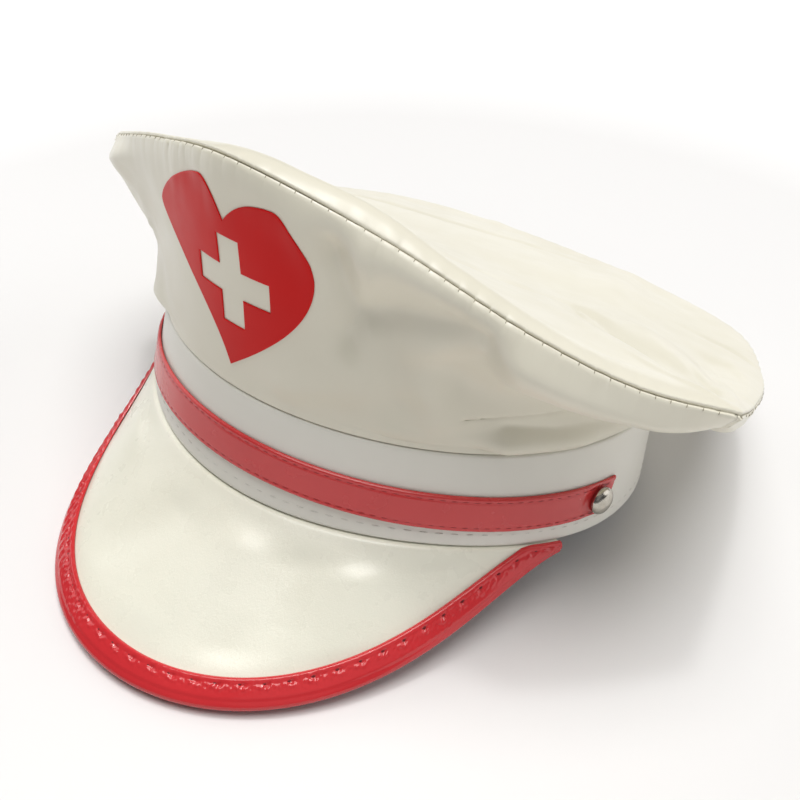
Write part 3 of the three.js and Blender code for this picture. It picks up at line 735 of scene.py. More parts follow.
def rim_curve(rows, reach, height):
    """Smooth curve through the rim's points: centripetal Catmull-Rom, evenly along its length."""
    rows = np.array(rows)
    points = stack(
        rows[:, 0] * RIM_HALF_WIDTH,
        lerp(-RIM_TIP_FORWARD, reach, rows[:, 1]),
        lerp(RIM_TIP_HEIGHT, height, rows[:, 2]),
    )
    first, last = 2.0 * points[0] - points[1], 2.0 * points[-1] - points[-2]
    knots = np.concatenate([[first], points, [last]])
    place = np.linspace(0.0, len(points) - 1.0, 3001)
    cell = np.minimum(place.astype(int), len(points) - 2)
    t = (place - cell)[:, None]
    p0, p1, p2, p3 = (knots[cell + i] for i in range(4))
    step0, step1, step2 = (
        np.sqrt(np.linalg.norm(b - a, axis=1))[:, None] for a, b in ((p0, p1), (p1, p2), (p2, p3))
    )
    leave = ((p1 - p0) / step0 - (p2 - p0) / (step0 + step1) + (p2 - p1) / step1) * step1
    arrive = ((p2 - p1) / step1 - (p3 - p1) / (step1 + step2) + (p3 - p2) / step2) * step1
    curve = p1 + leave * t + (3.0 * (p2 - p1) - 2.0 * leave - arrive) * t**2
    curve = curve + (2.0 * (p1 - p2) + leave + arrive) * t**3
    return curve, length_passed(curve)


front_rim, front_length = rim_curve(FRONT_RIM, -RIM_FRONT_REACH, RIM_FRONT_HEIGHT)
back_rim, back_length = rim_curve(BACK_RIM, RIM_BACK_REACH, RIM_BACK_HEIGHT)


def along_rim(turn):
    """Length along the rim in millimetres: 0 at the wearer's right tip, on over the front."""
    front = (turn + SIDE_SEAM_TURN) / 180.0 * front_length[-1]
    back = front_length[-1] + (turn - SIDE_SEAM_TURN) / 180.0 * back_length[-1]
    return np.where(turn <= SIDE_SEAM_TURN, front, back)


def on_curve(curve, length, share):
    """Point at a share of a curve's length."""
    at = np.clip(share, 0.0, 1.0) * length[-1]
    return stack(*(np.interp(at, length, curve[:, i]) for i in range(3)))


def rim_point(turn):
    """Point of the rim seam above a turn from -90 to 270."""
    front = on_curve(front_rim, front_length, (SIDE_SEAM_TURN - turn) / 180.0)
    back = on_curve(back_rim, back_length, (turn - SIDE_SEAM_TURN) / 180.0)
    return np.where((turn <= SIDE_SEAM_TURN)[..., None], front, back)


def plain_wall(turn, share):
    """Inside of the wall without folds: an upright hem, then a curve that flares to the rim."""
    foot = band_point(turn, BAND_HEIGHT + GAP, -CROWN_WALL)
    hem = foot + np.array([0.0, 0.0, HEM_HEIGHT])
    rim = rim_point(turn)
    overhang = np.hypot(rim[..., 0] - hem[..., 0], rim[..., 1] - hem[..., 1])
    rise = np.maximum(rim[..., 2] - hem[..., 2], 0.0)
    climb = WALL_STAND + WALL_STAND_SHARE * np.minimum(overhang, rise)
    stand = hem + stack(0.0, 0.0, climb)
    t = np.clip((share - HEM_SHARE) / (1.0 - HEM_SHARE), 0.0, 1.0)[..., None]
    curve = (1.0 - t) ** 2 * hem + 2.0 * t * (1.0 - t) * stand + t**2 * rim
    low = foot + (hem - foot) * (share / HEM_SHARE)[..., None]
    return np.where((share <= HEM_SHARE)[..., None], low, curve)


def wall_normal(turn, share):
    """Outward direction: the way along the plain wall crossed with the way from foot to rim."""
    step = 0.01
    last = np.where(turn > SIDE_SEAM_TURN, LAST_TURN, SIDE_SEAM_TURN)
    start = np.minimum(turn, last - step)
    along = plain_wall(start + step, share) - plain_wall(start, share)
    up = plain_wall(turn, share * 0.0 + 1.0) - plain_wall(turn, share * 0.0)
    return unit(np.cross(along, up))


def fold_height(folds, x, y, x_size, y_size, spread_size):
    """Sum of folds: each is a ridge or groove along a line, fading with the distance from it."""
    height = 0.0 * x * y
    for x0, y0, x1, y1, spread, depth in folds:
        start_x, start_y = x0 * x_size, y0 * y_size
        way_x, way_y = x1 * x_size - start_x, y1 * y_size - start_y
        share = ((x - start_x) * way_x + (y - start_y) * way_y) / (way_x**2 + way_y**2)
        held = np.clip(share, 0.0, 1.0)
        distance = np.hypot(x - start_x - held * way_x, y - start_y - held * way_y)
        height = height + FOLD_DEPTH * depth * bell(distance, spread * spread_size)
    return height


def crease_height(creases, x, y, x_size, y_size):
    """Sum of creases: each a rounded ridge or groove along a broken line, from its first height
    to its last one, that fades with the distance from the line."""
    height = 0.0 * x * y
    for width, first, last, *places in creases:
        line = np.array(places) * (x_size, y_size)
        steps = np.linalg.norm(np.diff(line, axis=0), axis=1)
        passed = np.concatenate([[0.0], np.cumsum(steps)])
        nearest, share = height * 0.0 + 1e9, height * 0.0
        for start, end, step, before in zip(line, line[1:], steps, passed):
            way = (end - start) / step
            along = np.clip((x - start[0]) * way[0] + (y - start[1]) * way[1], 0.0, step)
            distance = np.hypot(x - start[0] - along * way[0], y - start[1] - along * way[1])
            share = np.where(distance < nearest, (before + along) / passed[-1], share)
            nearest = np.minimum(distance, nearest)
        height = height + lerp(first, last, share) * bell(nearest, width)
    return height


def levels(rows, turn):
    """A table's height at a turn: level at each of its rows and smooth between them."""
    height = 0.0 * turn
    for (turn0, height0), (turn1, height1) in zip(rows, rows[1:]):
        part = lerp(height0, height1, smooth(turn, turn0, turn1))
        height = np.where((turn >= turn0) & (turn <= turn1), part, height)
    return height


def seam_outwards(turn):
    """Direction from the rim seam outwards and up, in which the puckers are pulled in."""
    outwards = rim_point(turn) - np.array([0.0, 0.0, RIM_TIP_HEIGHT])
    flat = unit(outwards * np.array([1.0, 1.0, 0.0]))
    return unit(flat + np.array([0.0, 0.0, 0.6]))


def from_right_seam(turn):
    """Degrees from the side seam at the wearer's right, on either side of it."""
    return np.minimum(turn + SIDE_SEAM_TURN, LAST_TURN - turn)


def pucker_arc(turn):
    """Length along the rim with the stitches' pitch a little uneven."""
    arc = along_rim(turn)
    return arc + 0.8 * np.sin(arc / 9.0)


def seam_puckers(turn, distance, fade):
    """Gathers along the rim seam: sharp dents at each stitch and slow waves between them, both
    fading away from the seam and at the right side seam."""
    arc = pucker_arc(turn)
    pull = 0.75 + 0.25 * np.sin(arc / 17.0) + 0.2 * np.sin(arc / 6.1)
    dent = -PUCKER_DEPTH * pull * ripple(arc, PUCKER_PITCH, 0.0, 8.0) * np.exp(-distance / fade)
    wave = PUCKER_WAVE_HEIGHT * pull * np.sin(arc * 2.0 * math.pi / PUCKER_WAVE_PITCH)
    wave = wave * bell(distance, PUCKER_WAVE_FADE)
    at_ends = smooth(from_right_seam(turn), 0.0, 4.0)
    return scaled(seam_outwards(turn), (dent + wave) * at_ends)


def wall_surface(turn, share):
    """Inside of the side wall: the plain wall with its folds, a swell and fine ribs under the rim
    seam, and the seam's puckers."""
    folds = wall_folds(turn, share)
    fade = smooth(share, HEM_SHARE, 0.1) * smooth(1.0 - share, 0.0, 0.08)
    down = (1.0 - share) * WALL_HEIGHT
    inset = down / LIP_WIDTH
    lip = levels(LIP, turn) * inset * np.exp(1.0 - inset)
    ribs = RIB_HEIGHT * np.sin((along_rim(turn) + RIB_SLANT * down) * 2.0 * math.pi / RIB_PITCH)
    ribs = ribs * smooth(turn, 30.0, 55.0) * smooth(-turn, -SIDE_SEAM_TURN, -84.0)
    ribs = ribs * bell(down - RIB_DROP, RIB_SPREAD)
    height = folds * fade + lip + ribs
    puckers = seam_puckers(turn, down, 2.0) * smooth(share, 0.3, 0.6)[..., None]
    return plain_wall(turn, share) + scaled(wall_normal(turn, share), height) + puckers


def wall_folds(turn, share):
    """Height of the wall's folds, creases and swells. Folds that end at the right side seam go on
    past it, a full turn on, and creases and swells fade out there."""
    scale = math.radians(1.0) * WALL_RADIUS
    x, y = turn * scale, share * WALL_HEIGHT
    folds = fold_height(WALL_FOLDS, x, y, scale, WALL_HEIGHT, WALL_HEIGHT)
    turn_before = x - FULL_TURN * scale
    folds = folds + fold_height(WALL_FOLDS, turn_before, y, scale, WALL_HEIGHT, WALL_HEIGHT)
    swell = WALL_SWELL * unevenness(x, y * 1.6, 11.0) * smooth(np.abs(turn + 2.0), 16.0, 26.0)
    plain_seam = smooth(from_right_seam(turn), 0.5, 9.0)
    return folds + (crease_height(WALL_CREASES, x, y, scale, WALL_HEIGHT) + swell) * plain_seam


def build_wall(name, node, from_turn, to_turn, columns):
    """A sewn wall panel: edges rounded in to its seams at the rim and at both sides."""
    seam_turn = math.degrees(GAP / 2.0 / BAND_HALF_LENGTH)
    turns = lerp(from_turn + seam_turn, to_turn - seam_turn, with_edges(columns, 0.006))[None, :]
    shares = (with_edges(104, 0.012) * (1.0 - 0.1 * GAP / WALL_HEIGHT))[:, None]
    turns, shares = np.broadcast_arrays(turns, shares)
    inner = wall_surface(turns, shares)
    normals = grid_normals(inner)
    slant = np.linalg.norm(rim_point(turns) - band_point(turns, BAND_HEIGHT, 0.0), axis=-1)
    side = np.minimum(turns - from_turn, to_turn - turns) * math.radians(1.0) * WALL_RADIUS
    edge = np.minimum(np.minimum(1.0 - shares, shares * 2.0 + 0.004) * slant, side)
    thick = rounded(CROWN_WALL, CROWN_EDGE_WALL, edge, CROWN_EDGE_ROUND)
    return add_shell(name, inner + scaled(normals, thick), inner, crown_vinyl, node)


def build_side_seam(name, side):
    """A slim cord of cloth down a side seam, thickest at the crown's tip: circles along the seam,
    just under the mean of the two panels' outer faces, drawn together at both ends."""
    share = np.linspace(SEAM_CORD_TOP, SEAM_CORD_FOOT, SEAM_CORD_RINGS)
    front_seam = side * SIDE_SEAM_TURN + 0.0 * share
    back_seam = (SIDE_SEAM_TURN if side > 0.0 else LAST_TURN) + 0.0 * share
    middle = wall_surface(front_seam, share)
    front = wall_surface(front_seam - side * SEAM_STEP, share) - middle
    back = wall_surface(back_seam + side * SEAM_STEP, share) - middle
    way = unit(np.gradient(middle, axis=0))
    normals = unit(unit(np.cross(way, front)) - unit(np.cross(way, back)))
    facing = np.sign(np.sum(normals * seam_outwards(front_seam), axis=-1))
    normals = scaled(normals, facing)
    across = np.cross(way, normals)
    taper = np.sqrt(np.clip(1.0 - np.linspace(-1.0, 1.0, SEAM_CORD_RINGS) ** 16, 0.02, 1.0))
    radius = lerp(SEAM_CORD_END, SEAM_CORD, smooth(share, 0.55, 0.92)) * taper
    centre = middle + scaled(normals, CROWN_WALL + SEAM_CORD_STAND - radius)
    around = full_circle(SEAM_CORD_COLUMNS)[None, :, None]
    rings = normals[:, None] * np.cos(around) + across[:, None] * np.sin(around)
    points = centre[:, None] + rings * radius[:, None, None]
    return add_tube(name, points, crown_vinyl, None)


def top_plane(y):
    """Height of the sloping plane through the top's centre and the middle of the back rim."""
    fall = (TOP_CENTRE_HEIGHT - RIM_BACK_HEIGHT) / (RIM_BACK_REACH - TOP_CENTRE_BACK)
    return TOP_CENTRE_HEIGHT - fall * (y - TOP_CENTRE_BACK)


def top_surface(turn, share):
    """Underside of the top panel: a sloping plane that curves up to the rim by a power of the way
    out, with folds, and a roll along its seam that rises as a sine and falls as a cosine."""
    rim = rim_point(turn)
    centre = np.array([0.0, TOP_CENTRE_BACK, TOP_CENTRE_HEIGHT])
    point = rim + (centre - rim) * share[..., None]
    x, y = point[..., 0], point[..., 1]
    base = top_plane(y) + (rim[..., 2] - top_plane(rim[..., 1])) * (1.0 - share) ** TOP_DISH
    flat = (rim - centre) * np.array([1.0, 1.0, 0.0])
    reach = np.linalg.norm(rim - centre, axis=-1)
    inset = share * reach / levels(ROLL_CREST, turn)
    rising = np.sin(inset * math.pi / 2.0)
    falling = np.cos(np.clip(inset - 1.0, 0.0, 2.0) * math.pi / 4.0) ** 2
    roll = ROLL_HEIGHT * levels(ROLL, turn) * np.where(inset < 1.0, rising, falling)
    fold = fold_height(TOP_FOLDS, x, y, RIM_HALF_WIDTH, RIM_BACK_REACH, RIM_HALF_WIDTH)
    fold = fold + crease_height(TOP_CREASES, x, y, RIM_HALF_WIDTH, RIM_BACK_REACH)
    fold = (fold + TOP_SWELL * unevenness(x, y, 13.0)) * smooth(share, 0.0, 0.08)
    lifted = stack(x, y, base + roll + fold) + seam_puckers(turn, share * reach, 1.2)
    return lifted + scaled(unit(flat), roll * ROLL_LEAN)


def build_top():
    """The saddle-shaped top: rings from the seam in to one point at its centre."""
    front = np.linspace(-SIDE_SEAM_TURN, SIDE_SEAM_TURN, 401)
    back = np.linspace(SIDE_SEAM_TURN, LAST_TURN, 261)[1:-1]
    turns = np.concatenate([front, back])[None, :]
    close = np.array([0.0, 0.0006, 0.002, 0.005, 0.009, 0.014])
    shares = np.concatenate([close, 0.02 + 0.97 * np.linspace(0.0, 1.0, 62) ** 1.35])[:, None]
    turns, shares = np.broadcast_arrays(turns, shares)
    inner = top_surface(turns, shares)
    normals = grid_normals(inner, around=True)
    reach = np.linalg.norm(inner[0] - inner[-1], axis=-1)
    thick = rounded(CROWN_WALL, CROWN_EDGE_WALL, shares * reach, CROWN_EDGE_ROUND)
    outer = inner + scaled(normals, thick)
    rows, columns = turns.shape
    count = rows * columns
    ids = np.arange(count).reshape(rows, columns)
    centre_hole = range(count - columns, count)
    faces = shell_faces(rows, columns, around=True)
    faces = [face for face in faces if not (face[0] in centre_hole and face[2] >= count)]
    last, after = ids[-1], np.roll(ids[-1], -1)
    tops = np.stack([last, after, np.full(columns, 2 * count)], axis=-1)
    unders = np.stack([after + count, last + count, np.full(columns, 2 * count + 1)], axis=-1)
    poles = np.array([outer[-1].mean(axis=0), inner[-1].mean(axis=0)])
    points = np.concatenate([outer.reshape(-1, 3), inner.reshape(-1, 3), poles])
    faces += tops.tolist() + unders.tolist()
    return add_piece("crown_top_panel", points, faces, crown_vinyl, "crown_top")


# Visor and binding

def visor_turn(span):
    """Turn at a span from -1 to 1 between the visor's ends."""
    return VISOR_TURN + span * VISOR_HALF_TURN


def visor_point(span, out):
    """Visor's middle surface: straight rulings out from the band, steeper towards its ends."""
    turn = visor_turn(span)
    bend = np.abs(span) ** np.where(span < 0.0, VISOR_RIGHT_BEND, VISOR_BEND)
    slope = np.radians(lerp(VISOR_SLOPE, VISOR_END_SLOPE, bend))
    point = band_point(turn, 0.0 * turn, out * np.cos(slope))
    height = edge_rise(turn) - GAP - VISOR_WALL / 2.0 - out * np.sin(slope)
    return stack(point[..., 0], point[..., 1], height)


def visor_depth(span):
    """Depth from the band to the edge: a cosine of the span to a power, fuller on the right."""
    sharpness = np.where(span < 0.0, VISOR_RIGHT_SHARPNESS, VISOR_SHARPNESS)
    return lerp(VISOR_END_DEPTH, VISOR_DEPTH, np.cos(span * math.pi / 2.0) ** sharpness)


def visor_flange(turn):
    """Rows of the sewing flange, from under the band up behind it."""
    half = VISOR_WALL / 2.0
    inside = -BAND_WALL - GAP - half
    bend = (inside + half, -GAP - half)
    upright = [(inside, height) for height in (-GAP, VISOR_FLANGE / 2.0, VISOR_FLANGE)]
    rows = []
    for out, height in (bend, *upright):
        taper = BAND_TAPER * np.maximum(height + edge_rise(turn), 0.0) / BAND_HEIGHT
        plan = band_point(turn, 0.0 * turn, out - taper)
        rows.append(stack(plan[..., 0], plan[..., 1], height + edge_rise(turn)))
    return np.stack(rows)


def visor_dents(span, share):
    """Soft dents of the sheet, none of them close to its binding or to the band."""
    dents = crease_height(VISOR_CREASES, span * VISOR_ARC, share * VISOR_RUN, VISOR_ARC, VISOR_RUN)
    return dents * smooth(1.0 - share, 0.12, 0.30) * smooth(share, 0.05, 0.25)


def build_visor():
    """The sheet from its outer edge in to the band, then up behind the band."""
    spans = np.linspace(VISOR_END_CUT - 1.0, 1.0 - VISOR_END_CUT, 241)[None, :]
    shares = np.linspace(1.0, 0.0, 61)[:, None]
    spans, shares = np.broadcast_arrays(spans, shares)
    sheet = visor_point(spans, shares * visor_depth(spans))
    sheet = sheet + scaled(grid_normals(sheet), visor_dents(spans, shares))
    middle = np.concatenate([sheet, visor_flange(visor_turn(spans[0]))])
    normals = grid_normals(middle)
    half = VISOR_WALL / 2.0
    outer, inner = middle + normals * half, middle - normals * half
    return add_shell("visor_sheet", outer, inner, visor_vinyl, "visor")


def visor_edge(span):
    """At the visor's edge: the way in square to it, the upward normal, and their squareness."""
    step = 0.001
    edge = visor_point(span, visor_depth(span))
    along = unit(visor_point(span + step, visor_depth(span + step)) - edge)
    ruling = unit(visor_point(span, 0.0 * span) - visor_point(span, 0.0 * span + 1.0))
    normal = unit(-np.cross(ruling, along))
    inwards = unit(-np.cross(along, normal))
    return inwards, normal, np.maximum(np.sum(ruling * inwards, axis=-1), 0.3)


def tape_path(span, inset, out, side, lift):
    """Point of the tape round the visor's edge, lifted off the sheet by a little more."""
    at_end = smooth(np.abs(span), 0.80, 0.88)
    hug = BINDING_END_HUG * at_end * smooth(inset, 0.5, 1.0) * (side > 0.0)
    opening = VISOR_WALL / 2.0 + GAP - hug
    inwards, normal, oblique = visor_edge(span)
    over_root = lerp(BINDING_ROOT, BINDING_END_ROOT, at_end)
    root = np.where(side > 0.0, over_root, BINDING_UNDER_ROOT)
    width = np.minimum(BINDING_WIDTH / oblique, visor_depth(span) - root)
    base = visor_point(span, visor_depth(span) - inset * width)
    return base + scaled(inwards, -(opening + lift) * out) + scaled(normal, (opening + lift) * side)


def build_tape():
    """The tape: from under the sheet, round its edge and back over it, puckered at its stitches."""
    spans = np.linspace(BINDING_END_CUT - 1.0, 1.0 - BINDING_END_CUT, 1001)
    bend = np.radians(np.linspace(-90.0, 90.0, 11)[1:-1])
    under = np.array([1.0, 0.98, 0.9, 0.7, 0.5, 0.3, 0.1])
    over = np.concatenate([np.linspace(0.04, 0.94, 26), [0.965, 0.985, 1.0]])
    inset = np.concatenate([under, np.zeros(9), over])[:, None]
    out = np.concatenate([0.0 * under, np.cos(bend), 0.0 * over])[:, None]
    side = np.concatenate([0.0 * under - 1.0, np.sin(bend), 0.0 * over + 1.0])[:, None]
    spans, inset, out, side = np.broadcast_arrays(spans[None, :], inset, out, side)
    edge = length_passed(visor_point(spans[0], visor_depth(spans[0])))[None, :]
    pulse = ripple(edge, TAPE_PITCH, 0.0, 5.0)
    on_top = np.where(side > 0.0, smooth(inset, 0.02, 0.25) * smooth(1.0 - inset, 0.0, 0.10), 0.0)
    from_line = (inset - TAPE_STITCH_SHARE) * BINDING_WIDTH
    channel = TAPE_CHANNEL_DEPTH * bell(from_line, 0.4)
    dimple = TAPE_DIMPLE_DEPTH * pulse * bell(from_line + 0.45, 0.75)
    beside = 0.34 * ripple(edge, TAPE_PITCH, 0.13, 7.0) * bell(from_line + 1.0, 0.6)
    beside = beside + 0.24 * ripple(edge, TAPE_PITCH, -0.14, 9.0) * bell(from_line + 1.5, 0.6)
    wrinkle = TAPE_WRINKLE_HEIGHT * np.sin((edge + inset * 4.5) * 2.0 * math.pi / TAPE_WRINKLE_PITCH)
    wrinkle = wrinkle * smooth(-spans, 0.18, 0.42) * smooth(0.95 + spans, 0.0, 0.25)
    near_line = bell(from_line + 0.8, 1.6)
    crushed = smooth(unevenness(edge, inset * 9.0, 7.0), 0.35, 0.9)
    crackle = TAPE_CRACKLE_HEIGHT * (near_line + 0.8 * crushed)
    crackle = crackle * unevenness(edge * 1.3, inset * 9.0, 0.45)
    crackle = crackle + 0.04 * unevenness(edge, inset * 7.0, 2.4)
    lift = on_top * (TAPE_LOFT + beside + wrinkle + crackle - channel - dimple)
    inner = tape_path(spans, inset, out, side, 0.0 * lift)
    thick = BINDING_WALL * (0.25 + 0.75 * quarter_round((1.0 - inset) * BINDING_WIDTH, 0.7))
    outer = tape_path(spans, inset, out, side, lift + thick)
    return add_shell("binding_tape", outer, inner, binding_vinyl, "visor_binding")


# Strap and rivets

def strap_place(span, share, out):
    """Point of the strap: along the band from end to end, raised as a cosine towards the front."""
    slant = STRAP_END_SLANT * (1.0 - share)
    turn = span * (RIVET_TURN + np.degrees((STRAP_PAST_RIVET - slant) / BAND_HALF_LENGTH))
    rise = STRAP_RISE + STRAP_FRONT_LIFT * np.cos(np.radians(turn)) + share * STRAP_WIDTH
    return band_point(turn, rise, out)


def build_strap():
    """A strip with rounded edges, a stitched channel along both sides, pressed in at the rivets."""
    spans = lerp(-1.0, 1.0, with_edges(420, 0.002))[None, :]
    shares = with_edges(30, 0.05)[:, None]
    spans, shares = np.broadcast_arrays(spans, shares)
    half_length = math.radians(RIVET_TURN) * BAND_HALF_LENGTH + STRAP_PAST_RIVET
    end = (1.0 - np.abs(spans)) * half_length
    across = np.minimum(shares, 1.0 - shares) * STRAP_WIDTH
    channel = STRAP_CHANNEL_DEPTH * bell(across - STRAP_STITCH_INSET, 0.35)
    from_rivet = np.hypot(end - STRAP_PAST_RIVET, (shares - 0.5) * STRAP_WIDTH)
    pressed = STRAP_PRESSED_DEPTH * bell(from_rivet - RIVET_RADIUS, 1.6)
    swell = STRAP_SWELL * unevenness(spans * half_length, shares * STRAP_WIDTH, 9.0)
    swell = swell * smooth(across, 0.0, 3.0)
    thick = rounded(STRAP_WALL, EDGE_WALL, np.minimum(across, end), STRAP_EDGE_ROUND)
    thick = thick + swell - channel - pressed
    inner = strap_place(spans, shares, GAP + 0.0 * thick)
    outer = strap_place(spans, shares, GAP + np.maximum(thick, 0.15))
    return add_shell("strap_strip", outer, inner, strap_vinyl, "strap")


def build_rivet(name, node, side):
    """A domed cap: rings from a flat foot over a short rim to the top of an oval dome."""
    angle = np.radians(np.linspace(0.0, 86.0, 16))
    radius = np.concatenate([[RIVET_RADIUS - 0.25, RIVET_RADIUS - 0.05], RIVET_RADIUS * np.cos(angle)])
    dome = RIVET_EDGE + (RIVET_HEIGHT - RIVET_EDGE) * np.sin(angle)
    height = np.concatenate([[0.0, 0.12], dome])
    around = full_circle(RIVET_COLUMNS)[None, :]
    turn = np.array(side * RIVET_TURN)
    outwards = band_normal(turn)
    axis = unit(outwards + np.array([0.0, 0.0, BAND_TAPER / BAND_HEIGHT]))
    across = unit(np.cross(np.array([0.0, 0.0, 1.0]), axis))
    upwards = np.cross(axis, across)
    rise = STRAP_RISE + STRAP_WIDTH / 2.0 + STRAP_FRONT_LIFT * math.cos(math.radians(RIVET_TURN))
    seat = band_point(turn, np.array(rise), GAP + STRAP_WALL + GAP)
    rings = scaled(across, np.cos(around)) + scaled(upwards, np.sin(around))
    points = seat + rings * radius[:, None, None] + axis * height[:, None, None]
    return add_tube(name, points, rivet_metal, node)


# Heart

def heart_outline():
    """Points round the heart from its tip, on six cubic curves."""
    t = np.linspace(0.0, 1.0, 61)[:-1, None]
    start = np.array([0.0, 0.0])
    size = np.array([HEART_WIDTH, HEART_HEIGHT])
    parts = []
    for row in HEART_OUTLINE:
        c1, c2, end = np.array(row).reshape(3, 2) * size
        part = (1.0 - t) ** 3 * start + 3.0 * t * (1.0 - t) ** 2 * c1
        parts.append(part + 3.0 * t**2 * (1.0 - t) * c2 + t**3 * end)
        start = end
    return np.concatenate(parts)


def cross_outline():
    """Points round the cross, its twelve corners among them."""
    reach, arm = CROSS_SPAN / 2.0, CROSS_ARM / 2.0
    corners = np.array([
        (arm, reach), (arm, arm), (reach, arm), (reach, -arm), (arm, -arm), (arm, -reach),
        (-arm, -reach), (-arm, -arm), (-reach, -arm), (-reach, arm), (-arm, arm), (-arm, reach),
    ])
    t = np.linspace(0.0, 1.0, 13)[:-1, None]
    ends = np.roll(corners, -1, axis=0)
    return np.concatenate([start + (end - start) * t for start, end in zip(corners, ends)])


def radius_at(outline, angles):
    """Distance from the middle to a closed outline at each angle."""
    own = np.arctan2(outline[:, 1], outline[:, 0])
    order = np.argsort(own)
    own, radius = own[order], np.linalg.norm(outline, axis=1)[order]
    return np.interp(angles, own, radius, period=2.0 * math.pi)


def on_wall(x, z):
    """Turn and share of the wall's points at given x and z, by Newton steps from a first guess."""
    turn = np.degrees(np.arcsin(np.clip(x / HEART_GUESS_RADIUS, -0.9, 0.9)))
    share = np.clip((z - BAND_HEIGHT) / WALL_HEIGHT, 0.05, 0.95)
    for _ in range(12):
        here, step = wall_surface(turn, share), 0.02
        by_turn = (wall_surface(turn + step, share) - here) / step
        by_share = (wall_surface(turn, share + step * 0.1) - here) / (step * 0.1)
        miss_x, miss_z = x - here[..., 0], z - here[..., 2]
        slant = by_turn[..., 0] * by_share[..., 2] - by_share[..., 0] * by_turn[..., 2]
        turn = turn + np.clip((miss_x * by_share[..., 2] - miss_z * by_share[..., 0]) / slant, -8.0, 8.0)
        share = share + np.clip((miss_z * by_turn[..., 0] - miss_x * by_turn[..., 2]) / slant, -0.1, 0.1)
        share = np.clip(share, 0.05, 0.985)
    return turn, share


def build_heart():
    """Film between the cross and the heart: rays from the cross's middle, laid on the wall."""
    middle = np.array([CROSS_ASIDE, CROSS_ABOVE_TIP])
    heart, cross = heart_outline() - middle, cross_outline()
    own = np.concatenate([np.arctan2(line[:, 1], line[:, 0]) for line in (cross, heart)])
    angles = np.unique(np.round(own, 5))[::-1][None, :]
    inside, outside = radius_at(cross, angles), radius_at(heart, angles)
    radius = lerp(inside, outside, with_edges(26, 0.02)[:, None])
    x = HEART_TIP_OFFSET + middle[0] + radius * np.cos(angles)
    z = HEART_TIP_RISE + middle[1] + radius * np.sin(angles)
    turn, share = on_wall(x, z)
    ground = wall_surface(turn, share)
    along = wall_surface(turn + 0.05, share) - ground
    above = wall_surface(turn, share + 0.0005) - ground
    normals = unit(np.cross(along, above))
    base = ground + normals * (CROWN_WALL + HEART_FILM_STAND)
    edge = np.minimum(radius - inside, outside - radius)
    film = base + scaled(normals, rounded(HEART_FILM, HEART_FILM_EDGE, edge, HEART_FILM_ROUND))
    node = "heart_emblem"
    return add_shell("heart_cross_film", film, base, heart_film, node, around=True)


# Stitches

def build_stitches(name, centres, along, normals, length, radius, material):
    """Short threads: each a thin tube that rises out of the sheet and dips back into it."""
    along, normals = unit(along), unit(normals)
    ways = (centres, along, normals, np.cross(normals, along))
    centre, along, normal, across = (way[:, None, None, :] for way in ways)
    t = np.linspace(-1.0, 1.0, STITCH_ROWS)[None, :, None]
    around = full_circle(STITCH_COLUMNS)[None, None, :]
    width = radius * np.sqrt(1.0 - 0.9 * t**2)
    lift = radius * 0.7 * (1.0 - t**2) - radius * 0.5 + width * np.sin(around)
    spread = width * np.cos(around)
    points = centre + scaled(along, t * length / 2.0 + 0.0 * around)
    points = points + scaled(normal, lift) + scaled(across, spread)
    one = ring_faces(STITCH_ROWS, STITCH_COLUMNS)
    step = STITCH_ROWS * STITCH_COLUMNS
    faces = [[corner + step * i for corner in face] for i in range(len(centres)) for face in one]
    return add_piece(name, points.reshape(-1, 3), faces, material, None)


def evenly_along(points, pitch):
    """Marks at a pitch along a line of points, as shares of the way through its list."""
    length = length_passed(points)
    marks = np.arange(pitch / 2.0, length[-1], pitch)
    return np.interp(marks, length, np.linspace(0.0, 1.0, len(points)))


def build_band_stitches():
    """White dashes round the band a little above its lower edge."""
    turns = np.linspace(-180.0, 180.0, 721)
    line = band_point(turns, edge_rise(turns) + BAND_STITCH_RISE, 0.0 * turns)
    turn = lerp(-180.0, 180.0, evenly_along(line, BAND_STITCH_PITCH))
    sunk, onward = 0.0 * turn - BAND_STITCH_SINK, turn + 0.2
    here = band_point(turn, edge_rise(turn) + BAND_STITCH_RISE, sunk)
    ahead = band_point(onward, edge_rise(onward) + BAND_STITCH_RISE, sunk)
    return build_stitches(
        "band_stitches", here, ahead - here, band_normal(turn),
        BAND_STITCH_LENGTH, BAND_STITCH_RADIUS, white_thread,
    )


def build_strap_stitches():
    """Dark red dashes along both edges of the strap."""
    parts = []
    for share in (STRAP_STITCH_INSET / STRAP_WIDTH, 1.0 - STRAP_STITCH_INSET / STRAP_WIDTH):
        spans = np.linspace(-STRAP_STITCH_SPAN, STRAP_STITCH_SPAN, 721)
        marks = evenly_along(strap_place(spans, share, 0.0 * spans), STRAP_STITCH_PITCH)
        spans = lerp(-STRAP_STITCH_SPAN, STRAP_STITCH_SPAN, marks)
        out = 0.0 * spans + GAP + STRAP_WALL - STRAP_STITCH_SINK
        here = strap_place(spans, share, out)
        ahead = strap_place(spans + 0.002, share, out)
        parts.append((here, ahead - here, band_normal(spans * RIVET_TURN)))
    centres, along, normals = (np.concatenate(group) for group in zip(*parts))
    return build_stitches(
        "strap_stitches", centres, along, normals,
        STRAP_STITCH_LENGTH, STRAP_STITCH_RADIUS, strap_thread,
    )


